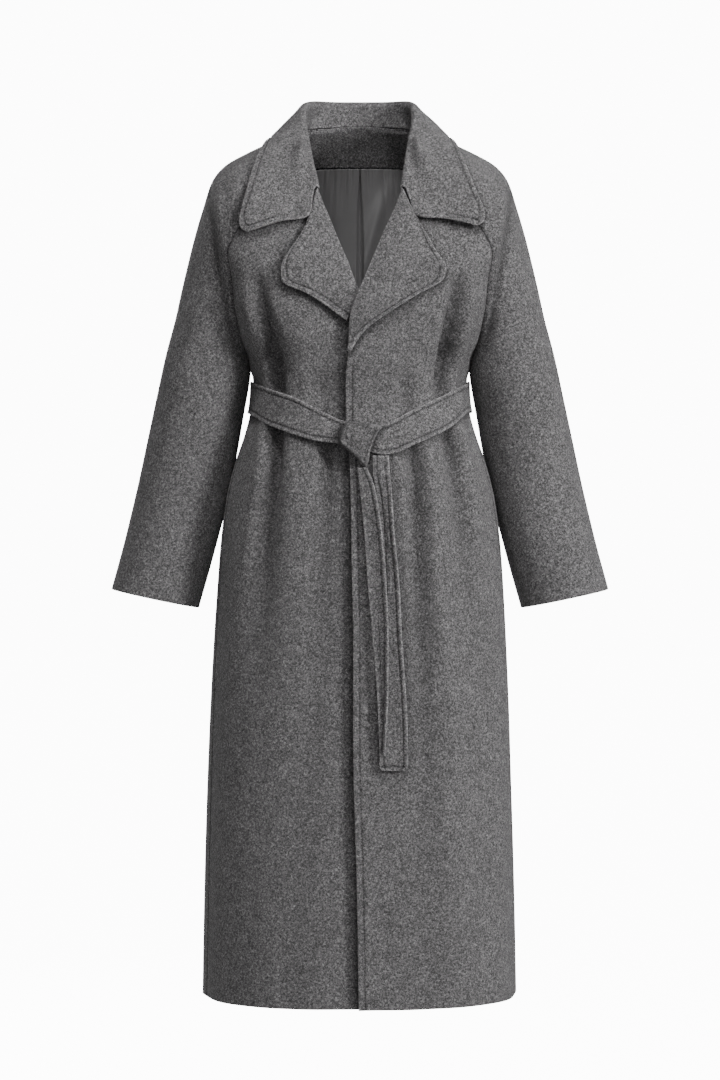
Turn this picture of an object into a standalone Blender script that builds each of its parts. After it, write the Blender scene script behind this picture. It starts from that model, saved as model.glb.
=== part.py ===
"""Belted wrap coat, worn shape, hollow, standing in free air.

+Z up, -Y front, +X the wearer's left. The origin is at the level of the shoulders, over the
middle of the body. Lengths in the tables are millimetres; meshes are written in metres.
The left front wraps over the right one and the belt is knotted at the centre front.
"""
import bpy
import math
import numpy as np
from mathutils import Vector
from mathutils.bvhtree import BVHTree

for old in list(bpy.data.objects):
    bpy.data.objects.remove(old, do_unlink=True)

MM = 0.001
SHELL = 2.4          # coat cloth, mm
LAPEL = 3.2          # two layers of cloth pressed together
COLLAR = 3.4
BELT = 3.4
FACING = 1.8
LINING = 1.0
SEAM_GAP = 0.34      # between neighbouring pieces
ARMPIT = 9.0         # row number where the sleeve closes
HEM_ROW = 18.0

FRONT_COLUMNS = 11
BACK_COLUMNS = 18
SLEEVE_COLUMNS = 14
UPPER_ROWS = [0.0, 0.8, 1.6, 2.4, 3.2, 4.0, 4.8, 5.6, 6.5, 7.4, 8.3, 9.0]
LOWER_ROWS = [9.45, 10.0, 10.6, 11.2, 11.8, 12.4, 13.1, 13.9, 14.8, 15.6, 16.4, 17.2, 18.0]
SLEEVE_LOWER_ROWS = [9.5, 10.1, 10.8, 11.5, 12.2, 13.0]

# Sleeve stations from the neck (0) to the cuff (13). top: point on the outer line; front and
# back: the two raglan seams, which meet under the arm at 9; turn: degrees of the oval between
# the outer line and that seam; deep: half depth of the oval.
SLEEVE = {
    "row":        [0, 1, 2, 3, 4, 5, 6, 7, 8, 9, 10, 11, 12, 13],
    "top_x":      [80, 118, 160, 191, 209, 221, 233, 247, 261, 275, 290, 312, 333, 352],
    "top_y":      [8, 8, 7, 6, 5, 4, 3, 2, 1, 0, 8, 14, 10, 4],
    "top_z":      [33, 14, -6, -24, -46, -82, -122, -178, -238, -294, -360, -460, -552, -624],
    "front_x":    [77, 100, 131, 158, 175, 184, 178, 174, 166, 156, 168, 187, 210, 230],
    "front_z":    [0, -40, -78, -110, -133, -157, -188, -226, -268, -309, -386, -487, -578, -650],
    "front_turn": [90, 90, 90, 90, 91, 94, 100, 115, 146, 180, 180, 180, 180, 180],
    "front_deep": [46, 74, 95, 103, 99, 90, 78, 70, 66, 64, 64, 65, 64, 63],
    "back_x":     [62, 92, 124, 150, 165, 174, 176, 173, 166, 156, 168, 187, 210, 230],
    "back_z":     [38, -14, -52, -88, -120, -152, -188, -228, -270, -309, -386, -487, -578, -650],
    "back_turn":  [90, 90, 90, 90, 92, 96, 103, 120, 150, 180, 180, 180, 180, 180],
    "back_deep":  [52, 82, 100, 108, 106, 100, 90, 80, 72, 66, 64, 65, 64, 63],
}
# Front of the body above the underarm: the curve from the middle line to the raglan seam.
CHEST = {
    "row":        [0, 1, 2, 3, 4, 5, 6, 7, 8, 9],
    "mid_y":      [-100, -104, -109, -114, -118, -121, -123, -125, -125, -124],
    "mid_z":      [-124, -134, -146, -160, -174, -190, -211, -240, -276, -310],
    "mid_pull":   [60, 54, 56, 64, 78, 96, 108, 112, 104, 95],
    "seam_turn":  [95, 130, 156, 166, 150, 122, 92, 86, 87, 90],
    "seam_pull":  [35, 30, 40, 48, 40, 36, 38, 48, 62, 75],
}
# Back of the body above the underarm.
UPPER_BACK = {
    "row":        [0, 1, 2, 3, 4, 5, 6, 7, 8, 9],
    "mid_y":      [82, 95, 106, 113, 117, 119, 119, 118, 116, 114],
    "mid_z":      [44, 4, -36, -74, -108, -144, -186, -228, -270, -310],
    "mid_pull":   [30, 38, 46, 54, 62, 74, 88, 98, 98, 95],
    "seam_turn":  [140, 152, 160, 158, 138, 114, 96, 88, 88, 90],
    "seam_pull":  [24, 32, 40, 48, 44, 36, 40, 50, 62, 69],
}
# Rings of the body below the underarm: half width, depth to front and back, y of the widest
# point, and where along the front quarter the side seam lies (1 is the widest point).
TRUNK = {
    "row":   [9, 9.45, 10, 10.6, 11.2, 11.8, 12.4, 13.1, 13.9, 14.8, 15.6, 16.4, 17.2, 18],
    "down":  [310, 328, 352, 378, 408, 444, 490, 552, 632, 724, 830, 950, 1076, 1197],
    "wide":  [156, 150.5, 151, 155, 163, 175, 187, 196, 203, 209, 214, 218, 221, 223],
    "front": [124, 121, 119, 121, 127, 132, 138, 143, 148, 151, 154, 158, 162, 165],
    "back":  [114, 111, 110, 113, 120, 127, 133, 139, 145, 150, 155, 159, 163, 166],
    "side":  [0, -3, -6, -10, -15, -20, -22, -20, -14, -8, -4, 0, 0, 0],
    "seam":  [1, 0.97, 0.94, 0.92, 0.9, 0.885, 0.88, 0.88, 0.88, 0.88, 0.88, 0.88, 0.88, 0.88],
}
# Edges of the two fronts, x by height: roll line at the top, then the cut front edge.
WRAP_EDGE = {
    "down": [40, 64, 78, 110, 160, 244, 299, 331, 391, 439, 581, 703, 826, 1030, 1200],
    "x":    [68, 59, 54, 41, 20, -14, -17, -20, -20, -15, -12, -10, -10, -5, -2],
}
UNDER_EDGE = {
    "down": [40, 64, 67, 110, 160, 204, 250, 300, 350, 450, 800, 1200],
    "x":    [69, 60, 59, 41.5, 21, 4, -18, -40, -60, -70, -74, -76],
}
# Creases: name, side (+1, -1 or 0 for both), whether on the front or back, then the path as
# (down, x, depth, half width).
CREASES = [
    ("chest_valley", 1, "front", [(188, 140, 0, 9), (235, 134, 7, 11), (285, 125, 11, 11),
                                  (338, 115, 8, 9), (372, 118, 5, 8), (411, 125, 8, 10),
                                  (470, 138, 4, 12), (580, 150, 0, 14)]),
    ("chest_valley", -1, "front", [(192, -146, 0, 9), (235, -138, 7, 11), (285, -124, 12, 11),
                                   (338, -115, 8, 9), (372, -117, 6, 8), (411, -121, 10, 10),
                                   (480, -126, 7, 12), (590, -139, 3, 14), (700, -146, 0, 16)]),
    ("belt_valley", 1, "front", [(300, 66, 0, 12), (345, 62, 3, 10), (400, 60, 3, 10),
                                 (460, 62, 6, 13), (560, 68, 4, 16), (760, 76, 2, 22),
                                 (1197, 84, 2, 30)]),
    ("belt_valley", -1, "front", [(300, -60, 0, 12), (345, -66, 3, 10), (400, -68, 3, 10),
                                  (460, -74, 5, 13), (560, -80, 3, 16), (800, -92, 2, 22),
                                  (1197, -100, 3, 30)]),
    ("back_valley", 1, "back", [(190, 112, 0, 12), (260, 108, 6, 13), (330, 98, 8, 11),
                                (410, 104, 8, 12), (500, 116, 5, 16), (760, 128, 3, 22),
                                (1197, 140, 3, 28)]),
    ("back_valley", -1, "back", [(190, -112, 0, 12), (260, -106, 6, 13), (330, -97, 8, 11),
                                 (410, -102, 8, 12), (500, -113, 5, 16), (760, -124, 3, 22),
                                 (1197, -138, 3, 28)]),
    ("back_fold", 0, "back", [(260, 46, 0, 12), (330, 40, 6, 10), (410, 42, 6, 11),
                              (560, 50, 4, 17), (800, 56, 3, 24), (1197, 60, 4, 30)]),
]
# Collar sections from the gorge (0) round to the centre back (8): roll line, middle and edge.
COLLAR_SECTIONS = {
    "key":    [0, 1, 2, 3, 4, 5, 6, 7, 8],
    "roll_x": [61, 62, 64, 67, 71, 71, 61, 36, 0],
    "roll_y": [-92, -82, -62, -38, -10, 22, 64, 86, 92],
    "roll_z": [-60, -43, -14, 16, 46, 68, 80, 82, 82],
    "mid_x":  [81, 95, 98, 98, 100, 102, 92, 54, 0],
    "mid_y":  [-108, -96, -74, -48, -18, 20, 76, 106, 114],
    "mid_z":  [-101, -70, -36, -6, 24, 44, 42, 42, 42],
    "edge_x": [158, 170, 157, 144, 136, 133, 122, 72, 0],
    "edge_y": [-106, -104, -82, -54, -26, 14, 86, 124, 132],
    "edge_z": [-120, -108, -64, -26, 2, 13, -4, -12, -14],
}
# Lapels, from the gorge (0) to the break point (1): roll line and outer edge in elevation.
WRAP_LAPEL = {
    "key":    [0, 0.14, 0.3, 0.42, 0.5, 0.62, 0.75, 0.86, 0.94, 1],
    "roll_x": [58.4, 48, 31, 17, 8, -5, -13, -15, -16, -17],
    "roll_z": [-65, -93, -133, -166, -188, -219, -242, -262, -281, -294],
    "edge_x": [78, 91, 105, 118, 113, 78, 40, 12, -4, -13],
    "edge_z": [-104, -130, -157, -179, -195, -217, -241, -261, -280, -296],
}
UNDER_LAPEL = {
    "key":    [0, 0.2, 0.42, 0.55, 0.7, 0.85, 1],
    "roll_x": [59.4, 48, 33, 24, 15, 6, -2],
    "roll_z": [-66, -94, -131, -153, -175, -197, -217],
    "edge_x": [70, 85, 108, 106, 76, 46, 18],
    "edge_z": [-103, -136, -179, -198, -214, -233, -252],
}
# Belt edges in elevation on the front, by x.
BELT_EDGE = {
    "x":    [-170, -154, -123, -92, -60, -19, 10, 30, 45, 68, 117, 152, 170],
    "high": [-322, -329, -344, -356, -373, -391, -396, -396, -390, -377, -352, -331, -323],
    "low":  [-368, -374, -393, -406, -417, -423, -432, -437, -435, -424, -399, -371, -367],
}
# Knot outline, seen from the front.
KNOT = [(-18, -391), (-2, -393), (20, -395), (32, -399), (26, -404), (20, -415), (16, -425),
        (13, -438), (12, -447), (8, -454), (1, -450), (-6, -441), (-16, -432), (-28, -424),
        (-30, -417), (-28, -406), (-24, -398)]
# Belt ends below the knot: height, the two edges, and how far each stands off the body.
TAIL_A = {
    "down":  [454.7, 480, 540, 613, 690, 770, 849],
    "left":  [-4, -1, 5, 10, 17, 23, 27],
    "right": [10, 20, 30, 36, 39, 38, 34],
    "off_l": [6, 7, 8, 9, 9, 9, 9],
    "off_r": [9, 14, 18, 20, 20, 18, 15],
}
TAIL_B = {
    "down":  [437.8, 458, 488, 540, 613, 692, 799, 862, 870],
    "left":  [17, 17, 22, 27, 30, 29, 27, 26, 29],
    "right": [40, 41, 44, 47, 54, 58, 65, 66, 62],
    "off_l": [4, 5, 5, 5, 5, 5, 5, 5, 5],
    "off_r": [4, 8, 12, 13, 12, 10, 9, 8, 8],
}


def smooth(keys, values, at):
    """Curve with even slopes through the table values."""
    k = np.asarray(keys, float)
    v = np.asarray(values, float)
    gap = np.diff(k)
    rise = np.diff(v) / gap
    slope = np.zeros(len(k))
    for i in range(1, len(k) - 1):
        before, after = rise[i - 1], rise[i]
        if before * after > 0:
            slope[i] = 2 * before * after / (before + after) * 0.5 + (before + after) * 0.25
    slope[0], slope[-1] = rise[0], rise[-1]
    at = min(max(at, k[0]), k[-1])
    i = int(min(max(np.searchsorted(k, at, side="right") - 1, 0), len(k) - 2))
    s = (at - k[i]) / gap[i]
    return ((1 + 2 * s) * (1 - s) ** 2 * v[i] + s * (1 - s) ** 2 * gap[i] * slope[i]
            + s * s * (3 - 2 * s) * v[i + 1] + s * s * (s - 1) * gap[i] * slope[i + 1])


def read(table, key, column, at):
    return smooth(table[key], table[column], at)


def bezier(a, b, c, d, u):
    w = 1 - u
    return w ** 3 * a + 3 * w * w * u * b + 3 * w * u * u * c + u ** 3 * d


def step(low, high, value):
    s = min(max((value - low) / (high - low), 0), 1)
    return s * s * (3 - 2 * s)


def sleeve_point(row, w):
    """Point of the sleeve: w 1 at the front seam, 0 on the outer line, -1 at the back seam."""
    side = "front" if w >= 0 else "back"
    top = np.array([read(SLEEVE, "row", "top_" + c, row) for c in "xyz"])
    end_x = read(SLEEVE, "row", side + "_x", row)
    end_z = read(SLEEVE, "row", side + "_z", row)
    turn = math.radians(read(SLEEVE, "row", side + "_turn", row))
    deep = read(SLEEVE, "row", side + "_deep", row)
    across = np.array([end_x - top[0], 0, end_z - top[2]]) / (1 - math.cos(turn))
    angle = abs(w) * turn
    forward = -1 if w >= 0 else 1
    return top + across * (1 - math.cos(angle)) + np.array([0, forward * deep * math.sin(angle), 0])


def quarter(mid, pull, end, turn, end_pull, facing, u):
    """Curve from the middle line to a side point; facing is -1 for the front, 1 for the back."""
    far = math.radians(turn)
    h_mid = np.array([mid[0] + pull, mid[1], 0])
    h_end = np.array([end[0] + end_pull * math.cos(far), end[1] + facing * end_pull * math.sin(far), 0])
    point = bezier(np.array([mid[0], mid[1], 0]), h_mid, h_end, np.array([end[0], end[1], 0]), u)
    point[2] = mid[2] + (end[2] - mid[2]) * u
    return point


def body_curve(row, u, facing):
    """Half ring of the body: u 0 on the middle line, 1 at the side; x is 0 or more."""
    if row <= ARMPIT:
        table = CHEST if facing < 0 else UPPER_BACK
        mid = [0, read(table, "row", "mid_y", row), read(table, "row", "mid_z", row)]
        end = sleeve_point(row, -facing)
        return quarter(mid, read(table, "row", "mid_pull", row), end,
                       read(table, "row", "seam_turn", row), read(table, "row", "seam_pull", row),
                       facing, u)
    down = read(TRUNK, "row", "down", row)
    wide = read(TRUNK, "row", "wide", row)
    side = read(TRUNK, "row", "side", row)
    deep = read(TRUNK, "row", "front" if facing < 0 else "back", row)
    mid = [0, facing * deep, -down]
    return quarter(mid, 0.61 * wide, [wide, side, -down], 90, 0.6 * abs(facing * deep - side), facing, u)


def body_point(row, q, sign):
    """q from -1 (past the middle of the front) by 0 (front), 1 (side) to 2 (centre back)."""
    if q < 0:
        point = body_curve(row, -q, -1)
        point[0] = -point[0]
    elif q <= 1:
        point = body_curve(row, q, -1)
    else:
        point = body_curve(row, 2 - q, 1)
    point[0] *= sign
    return point


def creased(point, row):
    """Push a body point inwards where a crease runs."""
    down = -point[2]
    if row <= ARMPIT:
        hold = 1.0
    else:
        hold = 1.0
    depth = 0.0
    for name, side, face, path in CREASES:
        if (face == "front") != (point[1] < -20):
            continue
        table = {"down": [p[0] for p in path], "x": [p[1] for p in path],
                 "depth": [p[2] for p in path], "half": [p[3] for p in path]}
        if down < table["down"][0]:
            continue
        centre = read(table, "down", "x", down)
        half = read(table, "down", "half", down)
        amount = read(table, "down", "depth", down)
        places = [centre, -centre] if side == 0 else [centre]
        for place in places:
            depth += amount * math.exp(-((point[0] - place) / half) ** 2) * hold
    if depth == 0:
        return point
    out = np.array([point[0] / 150 ** 2, point[1] / 125 ** 2, 0])
    out /= np.linalg.norm(out)
    return point - out * depth


def edge_start(row, edge, sign):
    """Where along the row a front's own edge lies."""
    low, high = -0.75, 0.98
    for _ in range(40):
        q = (low + high) / 2
        point = body_point(row, q, 1)
        if point[0] > read(edge, "down", "x", -point[2]):
            high = q
        else:
            low = q
    return (low + high) / 2


def seam_place(row):
    return 1.0 if row <= ARMPIT else read(TRUNK, "row", "seam", row)


def front_grid(sign, edge, under):
    rows = UPPER_ROWS + LOWER_ROWS
    grid = []
    for row in rows:
        start = edge_start(row, edge, sign)
        stop = seam_place(row)
        line = []
        for j in range(FRONT_COLUMNS + 1):
            q = start + (stop - start) * j / FRONT_COLUMNS
            point = body_point(row, q, sign)
            if under:
                inset = 9.5 * (1 - step(28, 90, abs(point[0]))) if point[0] < 0 else 9.5
                inset *= step(0, 3, row)
                point = point + np.array([0, inset, 0])
            line.append(creased(point, row) if j < FRONT_COLUMNS or row > ARMPIT else point)
        grid.append(line)
    return np.array(grid)


def back_grid():
    grid = []
    half = BACK_COLUMNS // 2
    for row in UPPER_ROWS + LOWER_ROWS:
        start = seam_place(row)
        line = []
        for j in range(BACK_COLUMNS + 1):
            sign = -1 if j < half else 1
            part = j / half if j < half else (BACK_COLUMNS - j) / half
            q = start + (2 - start) * part
            if row <= ARMPIT:
                q = 1.0000001 + (2 - 1.0000001) * part
            point = body_point(row, q, sign)
            line.append(creased(point, row) if 0 < j < BACK_COLUMNS or row > ARMPIT else point)
        grid.append(line)
    return np.array(grid)


def sleeve_grid(sign):
    grid = []
    for row in UPPER_ROWS + SLEEVE_LOWER_ROWS:
        line = []
        for j in range(SLEEVE_COLUMNS + 1):
            w = 1 - 2 * j / SLEEVE_COLUMNS
            point = sleeve_point(row, w)
            point[0] *= sign
            line.append(point)
        grid.append(line)
    return np.array(grid)


def unit(v):
    return v / np.maximum(np.linalg.norm(v, axis=-1, keepdims=True), 1e-9)


def grid_normals(grid, hint):
    """Normals of a grid of points, turned to the side that hint(point) gives."""
    du = np.gradient(grid, axis=0)
    dv = np.gradient(grid, axis=1)
    normal = unit(np.cross(du, dv))
    want = np.array([[hint(p) for p in line] for line in grid])
    if np.sum(normal * want) < 0:
        normal = -normal
    return normal


class Panel:
    """A sheet of cloth: mid-surface points, normals, thickness and edge pull-backs."""

    def __init__(self, name, grid, hint, thick):
        self.name = name
        self.grid = np.array(grid, float)
        self.normal = grid_normals(self.grid, hint)
        self.thick = thick
        self.shift = np.zeros_like(self.grid)

    def inward(self, i, j):
        rows, cols = self.grid.shape[:2]
        near = [(i, j)]
        step_to = np.zeros(3)
        if j == 0:
            step_to += unit(self.grid[i, 1] - self.grid[i, 0])
        if j == cols - 1:
            step_to += unit(self.grid[i, cols - 2] - self.grid[i, cols - 1])
        return step_to

    def pull(self, places, towards, amount=SEAM_GAP / 2):
        for (i, j), (k, m) in zip(places, towards):
            self.shift[i, j] += unit(self.grid[k, m] - self.grid[i, j]) * amount

    def build(self, material):
        rows, cols = self.grid.shape[:2]
        mid = self.grid + self.shift
        outer = mid + self.normal * self.thick / 2
        inner = mid - self.normal * self.thick / 2
        points = np.concatenate([outer.reshape(-1, 3), inner.reshape(-1, 3)]) * MM
        count = rows * cols
        du = self.grid[1, 1] - self.grid[0, 1]
        dv = self.grid[1, 1] - self.grid[1, 0]
        turned = np.dot(np.cross(du, dv), self.normal[1, 1]) < 0
        faces = []
        for i in range(rows - 1):
            for j in range(cols - 1):
                a, b = i * cols + j, i * cols + j + 1
                c, d = (i + 1) * cols + j + 1, (i + 1) * cols + j
                faces += [(a, d, c), (a, c, b)]
                a, b, c, d = a + count, b + count, c + count, d + count
                faces += [(a, c, d), (a, b, c)]
        rim = [(0, j) for j in range(cols)] + [(i, cols - 1) for i in range(1, rows)]
        rim += [(rows - 1, j) for j in range(cols - 2, -1, -1)] + [(i, 0) for i in range(rows - 2, 0, -1)]
        for k in range(len(rim)):
            a = rim[k][0] * cols + rim[k][1]
            b = rim[(k + 1) % len(rim)][0] * cols + rim[(k + 1) % len(rim)][1]
            faces += [(a, b, b + count), (a, b + count, a + count)]
        if turned:
            faces = [f[::-1] for f in faces]
        return make_mesh(self.name, points, faces, material)


def make_mesh(name, points, faces, material):
    mesh = bpy.data.meshes.new(name)
    mesh.from_pydata([tuple(p) for p in points], [], faces)
    mesh.update()
    mesh.materials.append(material)
    thing = bpy.data.objects.new(name, mesh)
    bpy.context.scene.collection.objects.link(thing)
    return thing


def share(pairs):
    """Give the meeting edges of neighbouring panels one mitre direction and a gap."""
    for members in pairs:
        total = np.zeros(3)
        for panel, at, to in members:
            total += panel.normal[at]
            total += 0.5 * unit(panel.grid[to] - panel.grid[at])
        sharp = np.linalg.norm(sum(unit(panel.grid[to] - panel.grid[at]) for panel, at, to in members))
        for panel, at, to in members:
            panel.new_normals[at] = unit(total)
            panel.shift[at] += unit(panel.grid[to] - panel.grid[at]) * SEAM_GAP / 2 * (1 + 1.2 * sharp)


def cloth(name, colour, roughness):
    material = bpy.data.materials.new(name)
    material.use_nodes = True
    shader = material.node_tree.nodes["Principled BSDF"]
    shader.inputs["Base Color"].default_value = (*colour, 1)
    shader.inputs["Roughness"].default_value = roughness
    return material


wool = cloth("grey_wool", (0.13, 0.125, 0.128), 0.9)
satin = cloth("grey_lining", (0.1, 0.095, 0.097), 0.45)


def out_of_body(p):
    return [p[0] / 150 ** 2, p[1] / 125 ** 2, 0.0]


def out_of_sleeve(sign):
    def hint(p):
        return [p[0] - sign * (150 - 0.26 * (p[2] + 20)), p[1], 30 if p[2] > -60 else 0]
    return hint


# Shell panels
front_left = Panel("front_left", front_grid(1, WRAP_EDGE, False), out_of_body, SHELL)
front_right = Panel("front_right", front_grid(-1, UNDER_EDGE, True), out_of_body, SHELL)
back = Panel("back", back_grid(), out_of_body, SHELL)
sleeve_left = Panel("sleeve_left", sleeve_grid(1), out_of_sleeve(1), SHELL)
sleeve_right = Panel("sleeve_right", sleeve_grid(-1), out_of_sleeve(-1), SHELL)
shell = [front_left, front_right, back, sleeve_left, sleeve_right]
for panel in shell:
    panel.new_normals = panel.normal.copy()

upper = len(UPPER_ROWS)
last_front = FRONT_COLUMNS
last_back = BACK_COLUMNS
last_sleeve = SLEEVE_COLUMNS
for front, sleeve, back_edge, back_in in ((front_left, sleeve_left, last_back, last_back - 1),
                                          (front_right, sleeve_right, 0, 1)):
    for i in range(upper - 1):
        share([[(front, (i, last_front), (i, last_front - 1)), (sleeve, (i, 0), (i, 1))],
               [(back, (i, back_edge), (i, back_in)), (sleeve, (i, last_sleeve), (i, last_sleeve - 1))]])
    for i in range(upper, upper + len(LOWER_ROWS)):
        share([[(front, (i, last_front), (i, last_front - 1)), (back, (i, back_edge), (i, back_in))]])
    for i in range(upper, upper + len(SLEEVE_LOWER_ROWS)):
        share([[(sleeve, (i, 0), (i, 1)), (sleeve, (i, last_sleeve), (i, last_sleeve - 1))]])
    # All four corners meet under the arm; the mitre points down between sleeve and body.
    i = upper - 1
    for panel, at, to in ((front, (i, last_front), (i, last_front - 1)),
                          (back, (i, back_edge), (i, back_in)),
                          (sleeve, (i, 0), (i, 1)), (sleeve, (i, last_sleeve), (i, last_sleeve - 1))):
        panel.new_normals[at] = np.array([0, 0, -1.0])
        panel.shift[at] += unit(panel.grid[to] - panel.grid[at]) * SEAM_GAP
        away = -0.4 if panel is sleeve else 0.4
        side = 1 if front is front_left else -1
        apart = 0 if panel is sleeve else (0.35 if panel is back else -0.35)
        panel.shift[at] += np.array([-away * side, apart, 0.0])
for panel in shell:
    panel.normal = panel.new_normals
    panel.shift[0] += unit(panel.grid[1] - panel.grid[0]) * 0.7


def tree_of(panels):
    points, faces = [], []
    for panel in panels:
        rows, cols = panel.grid.shape[:2]
        base = len(points)
        points += [Vector(p) for p in panel.grid.reshape(-1, 3)]
        for i in range(rows - 1):
            for j in range(cols - 1):
                a = base + i * cols + j
                faces.append((a, a + cols, a + cols + 1))
                faces.append((a, a + cols + 1, a + 1))
    return BVHTree.FromPolygons(points, faces)


def lift(point, tree, clear, outward):
    """Move a point out until it is clear of the cloth below it."""
    for _ in range(4):
        place, normal, _index, _gap = tree.find_nearest(Vector(point))
        normal = np.array(normal)
        if np.dot(normal, outward) < 0:
            normal = -normal
        height = np.dot(point - np.array(place), normal)
        if height >= clear:
            return point
        point = point + normal * (clear - height)
    return point


def on_front(x, z, tree, clear):
    place, normal, _index, _gap = tree.ray_cast(Vector((x, -400, z)), Vector((0, 1, 0)))
    if place is None:
        place, normal, _index, _gap = tree.find_nearest(Vector((x, -120, z)))
    normal = np.array(normal)
    if normal[1] > 0:
        normal = -normal
    return np.array(place) + normal * clear


wrap_tree = tree_of([front_left, sleeve_left])
under_tree = tree_of([front_right, sleeve_right])
shell_tree = tree_of(shell)


def lapel_grid(table, sign, tree, rows, cols, clear, loft):
    grid = []
    for i in range(rows + 1):
        s = i / rows
        roll = [read(table, "key", "roll_x", s), read(table, "key", "roll_z", s)]
        edge = [read(table, "key", "edge_x", s), read(table, "key", "edge_z", s)]
        line = []
        for j in range(cols + 1):
            u = j / cols
            x = sign * (roll[0] + (edge[0] - roll[0]) * u)
            z = roll[1] + (edge[1] - roll[1]) * u
            wide = abs(edge[0] - roll[0]) + abs(edge[1] - roll[1])
            puff = loft * min(wide / 60, 1) * 4 * u * (1 - u) * (1.4 - 0.8 * u)
            line.append(on_front(x, z, tree, clear + puff))
        grid.append(line)
    return grid


lay = SHELL / 2 + 0.8
lapel_left = Panel("lapel_left", lapel_grid(WRAP_LAPEL, 1, wrap_tree, 12, 4, lay + LAPEL / 2, 4),
                   lambda p: [0, -1, 0], LAPEL)
lapel_right = Panel("lapel_right", lapel_grid(UNDER_LAPEL, -1, under_tree, 9, 4, lay + 0.7 + LAPEL / 2, 2),
                    lambda p: [0, -1, 0], LAPEL)

# Collar: its sections start on the neck seam of the shell, so the seam points come first.


def seam_points(sign):
    """Neck seam from the gorge to the centre back with the collar key of each point."""
    start = edge_start(0, WRAP_EDGE if sign > 0 else UNDER_EDGE, sign)
    out = []
    for j, key in enumerate((0, 0.9, 1.6, 2.2, 2.7)):
        q = start + (1 - start) * j / 5
        out.append((key, body_point(0, q, sign)))
    for j in range(7):
        w = 1 - 2 * j / 7
        p = sleeve_point(0, w)
        out.append((3.1 + 1.75 * (1 - w), p * np.array([sign, 1, 1])))
    for j in range(5):
        q = 1.0000001 + j / 4 * 0.9999999
        out.append((6.6 + 1.4 * j / 4, body_point(0, q, sign)))
    return out


def collar_section(key, seam, sign, tree):
    roll = np.array([sign * read(COLLAR_SECTIONS, "key", "roll_x", key),
                     read(COLLAR_SECTIONS, "key", "roll_y", key),
                     read(COLLAR_SECTIONS, "key", "roll_z", key)])
    mid = np.array([sign * read(COLLAR_SECTIONS, "key", "mid_x", key),
                    read(COLLAR_SECTIONS, "key", "mid_y", key),
                    read(COLLAR_SECTIONS, "key", "mid_z", key)])
    edge = np.array([sign * read(COLLAR_SECTIONS, "key", "edge_x", key),
                     read(COLLAR_SECTIONS, "key", "edge_y", key),
                     read(COLLAR_SECTIONS, "key", "edge_z", key)])
    out = np.array([edge[0] - roll[0], edge[1] - roll[1] if key > 4 else -30.0, 0])
    out = unit(out)
    up = unit(np.array([0, -0.6 * (1 - step(1, 5, key)), 1.0]))
    foot = seam + unit(roll - seam) * (2.8 + 1.2 * step(0.2, 0.9, key) * (1 - step(2, 3, key)))
    inner = roll - out * 3.2 - up * 3.0
    outer = roll + out * 3.4 - up * 3.4
    line = [foot, foot + (inner - foot) * 0.5, inner, roll, outer]
    lower = [outer + (mid - outer) * 0.45, mid - (mid - outer) * 0.05]
    lower += [mid + (edge - mid) * part for part in (0.33, 0.67, 1.0)]
    clear = SHELL / 2 + COLLAR / 2 + 1.2
    aim = np.array([out[0], out[1], 0.6])
    line[4] = lift(outer, tree, clear, aim)
    for point in lower:
        line.append(lift(point, tree, clear, aim))
    return line


collar_lines = []
for key, seam in seam_points(-1):
    collar_lines.append(collar_section(key, seam, -1, shell_tree))
for key, seam in reversed(seam_points(1)[:-1]):
    collar_lines.append(collar_section(key, seam, 1, shell_tree))
collar_lines = np.array(collar_lines)


def ease_out(lines, thick, hint, tree, clear):
    """Move sheet points out until both faces of the sheet are clear of the cloth below."""
    for _ in range(12):
        push = np.zeros_like(lines)
        normals = grid_normals(lines, hint)
        rows, cols = lines.shape[:2]
        for layer in (1, -1):
            face = lines + normals * thick / 2 * layer
            for i in range(rows - 1):
                for j in range(cols - 1):
                    ring = [(i, j), (i, j + 1), (i + 1, j + 1), (i + 1, j)]
                    for group in (ring, ring[:1], ring[:2], ring[::3], ring[::2], ring[2:3]):
                        middle = sum(face[a] for a in group) / len(group)
                        place, normal, _index, _gap = tree.find_nearest(Vector(middle))
                        place, normal = np.array(place), np.array(normal)
                        if np.dot(normal, [place[0], place[1] - 20, 60]) < 0:
                            normal = -normal
                        offset = middle - place
                        height = np.dot(offset, normal)
                        beside = np.linalg.norm(offset - normal * height)
                        if np.linalg.norm(offset) >= clear and (height > 0 or beside > 0.3):
                            continue
                        move = normal * (clear - height) * 0.7
                        if beside > 0.3 and height > -clear:
                            away = offset + normal * 0.4
                            move = unit(away) * (clear + 0.4 - np.linalg.norm(offset)) * 0.7
                        for a in group:
                            if np.linalg.norm(move) > np.linalg.norm(push[a]):
                                push[a] = move
        lines += push
    return lines


def out_of_collar(p):
    return [p[0], p[1] - 20, 30]


collar_lines = ease_out(collar_lines, COLLAR, out_of_collar, shell_tree, SHELL / 2 + 0.8)
collar = Panel("collar", collar_lines, out_of_collar, COLLAR)

# Inside of the back: wool facing at the neck, then lining with a centre pleat.


def inside_back(x, z, offset):
    tree = shell_tree
    place, normal, _index, _gap = tree.ray_cast(Vector((x, 20, z)), Vector((0, 1, 0)))
    normal = np.array(normal)
    if normal[1] > 0:
        normal = -normal
    return np.array(place) + normal * offset


facing_lines = []
for i in range(3):
    line = []
    for j in range(9):
        x = -68 + 136 * j / 8
        top = 44 - 7 * (x / 66) ** 2 - 4
        z = top + (-13 - top) * i / 2
        line.append(inside_back(x, z, SHELL / 2 + 0.8 + FACING / 2))
    facing_lines.append(line)
neck_facing = Panel("neck_facing", facing_lines, lambda p: [0, 1, 0], FACING)

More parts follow.
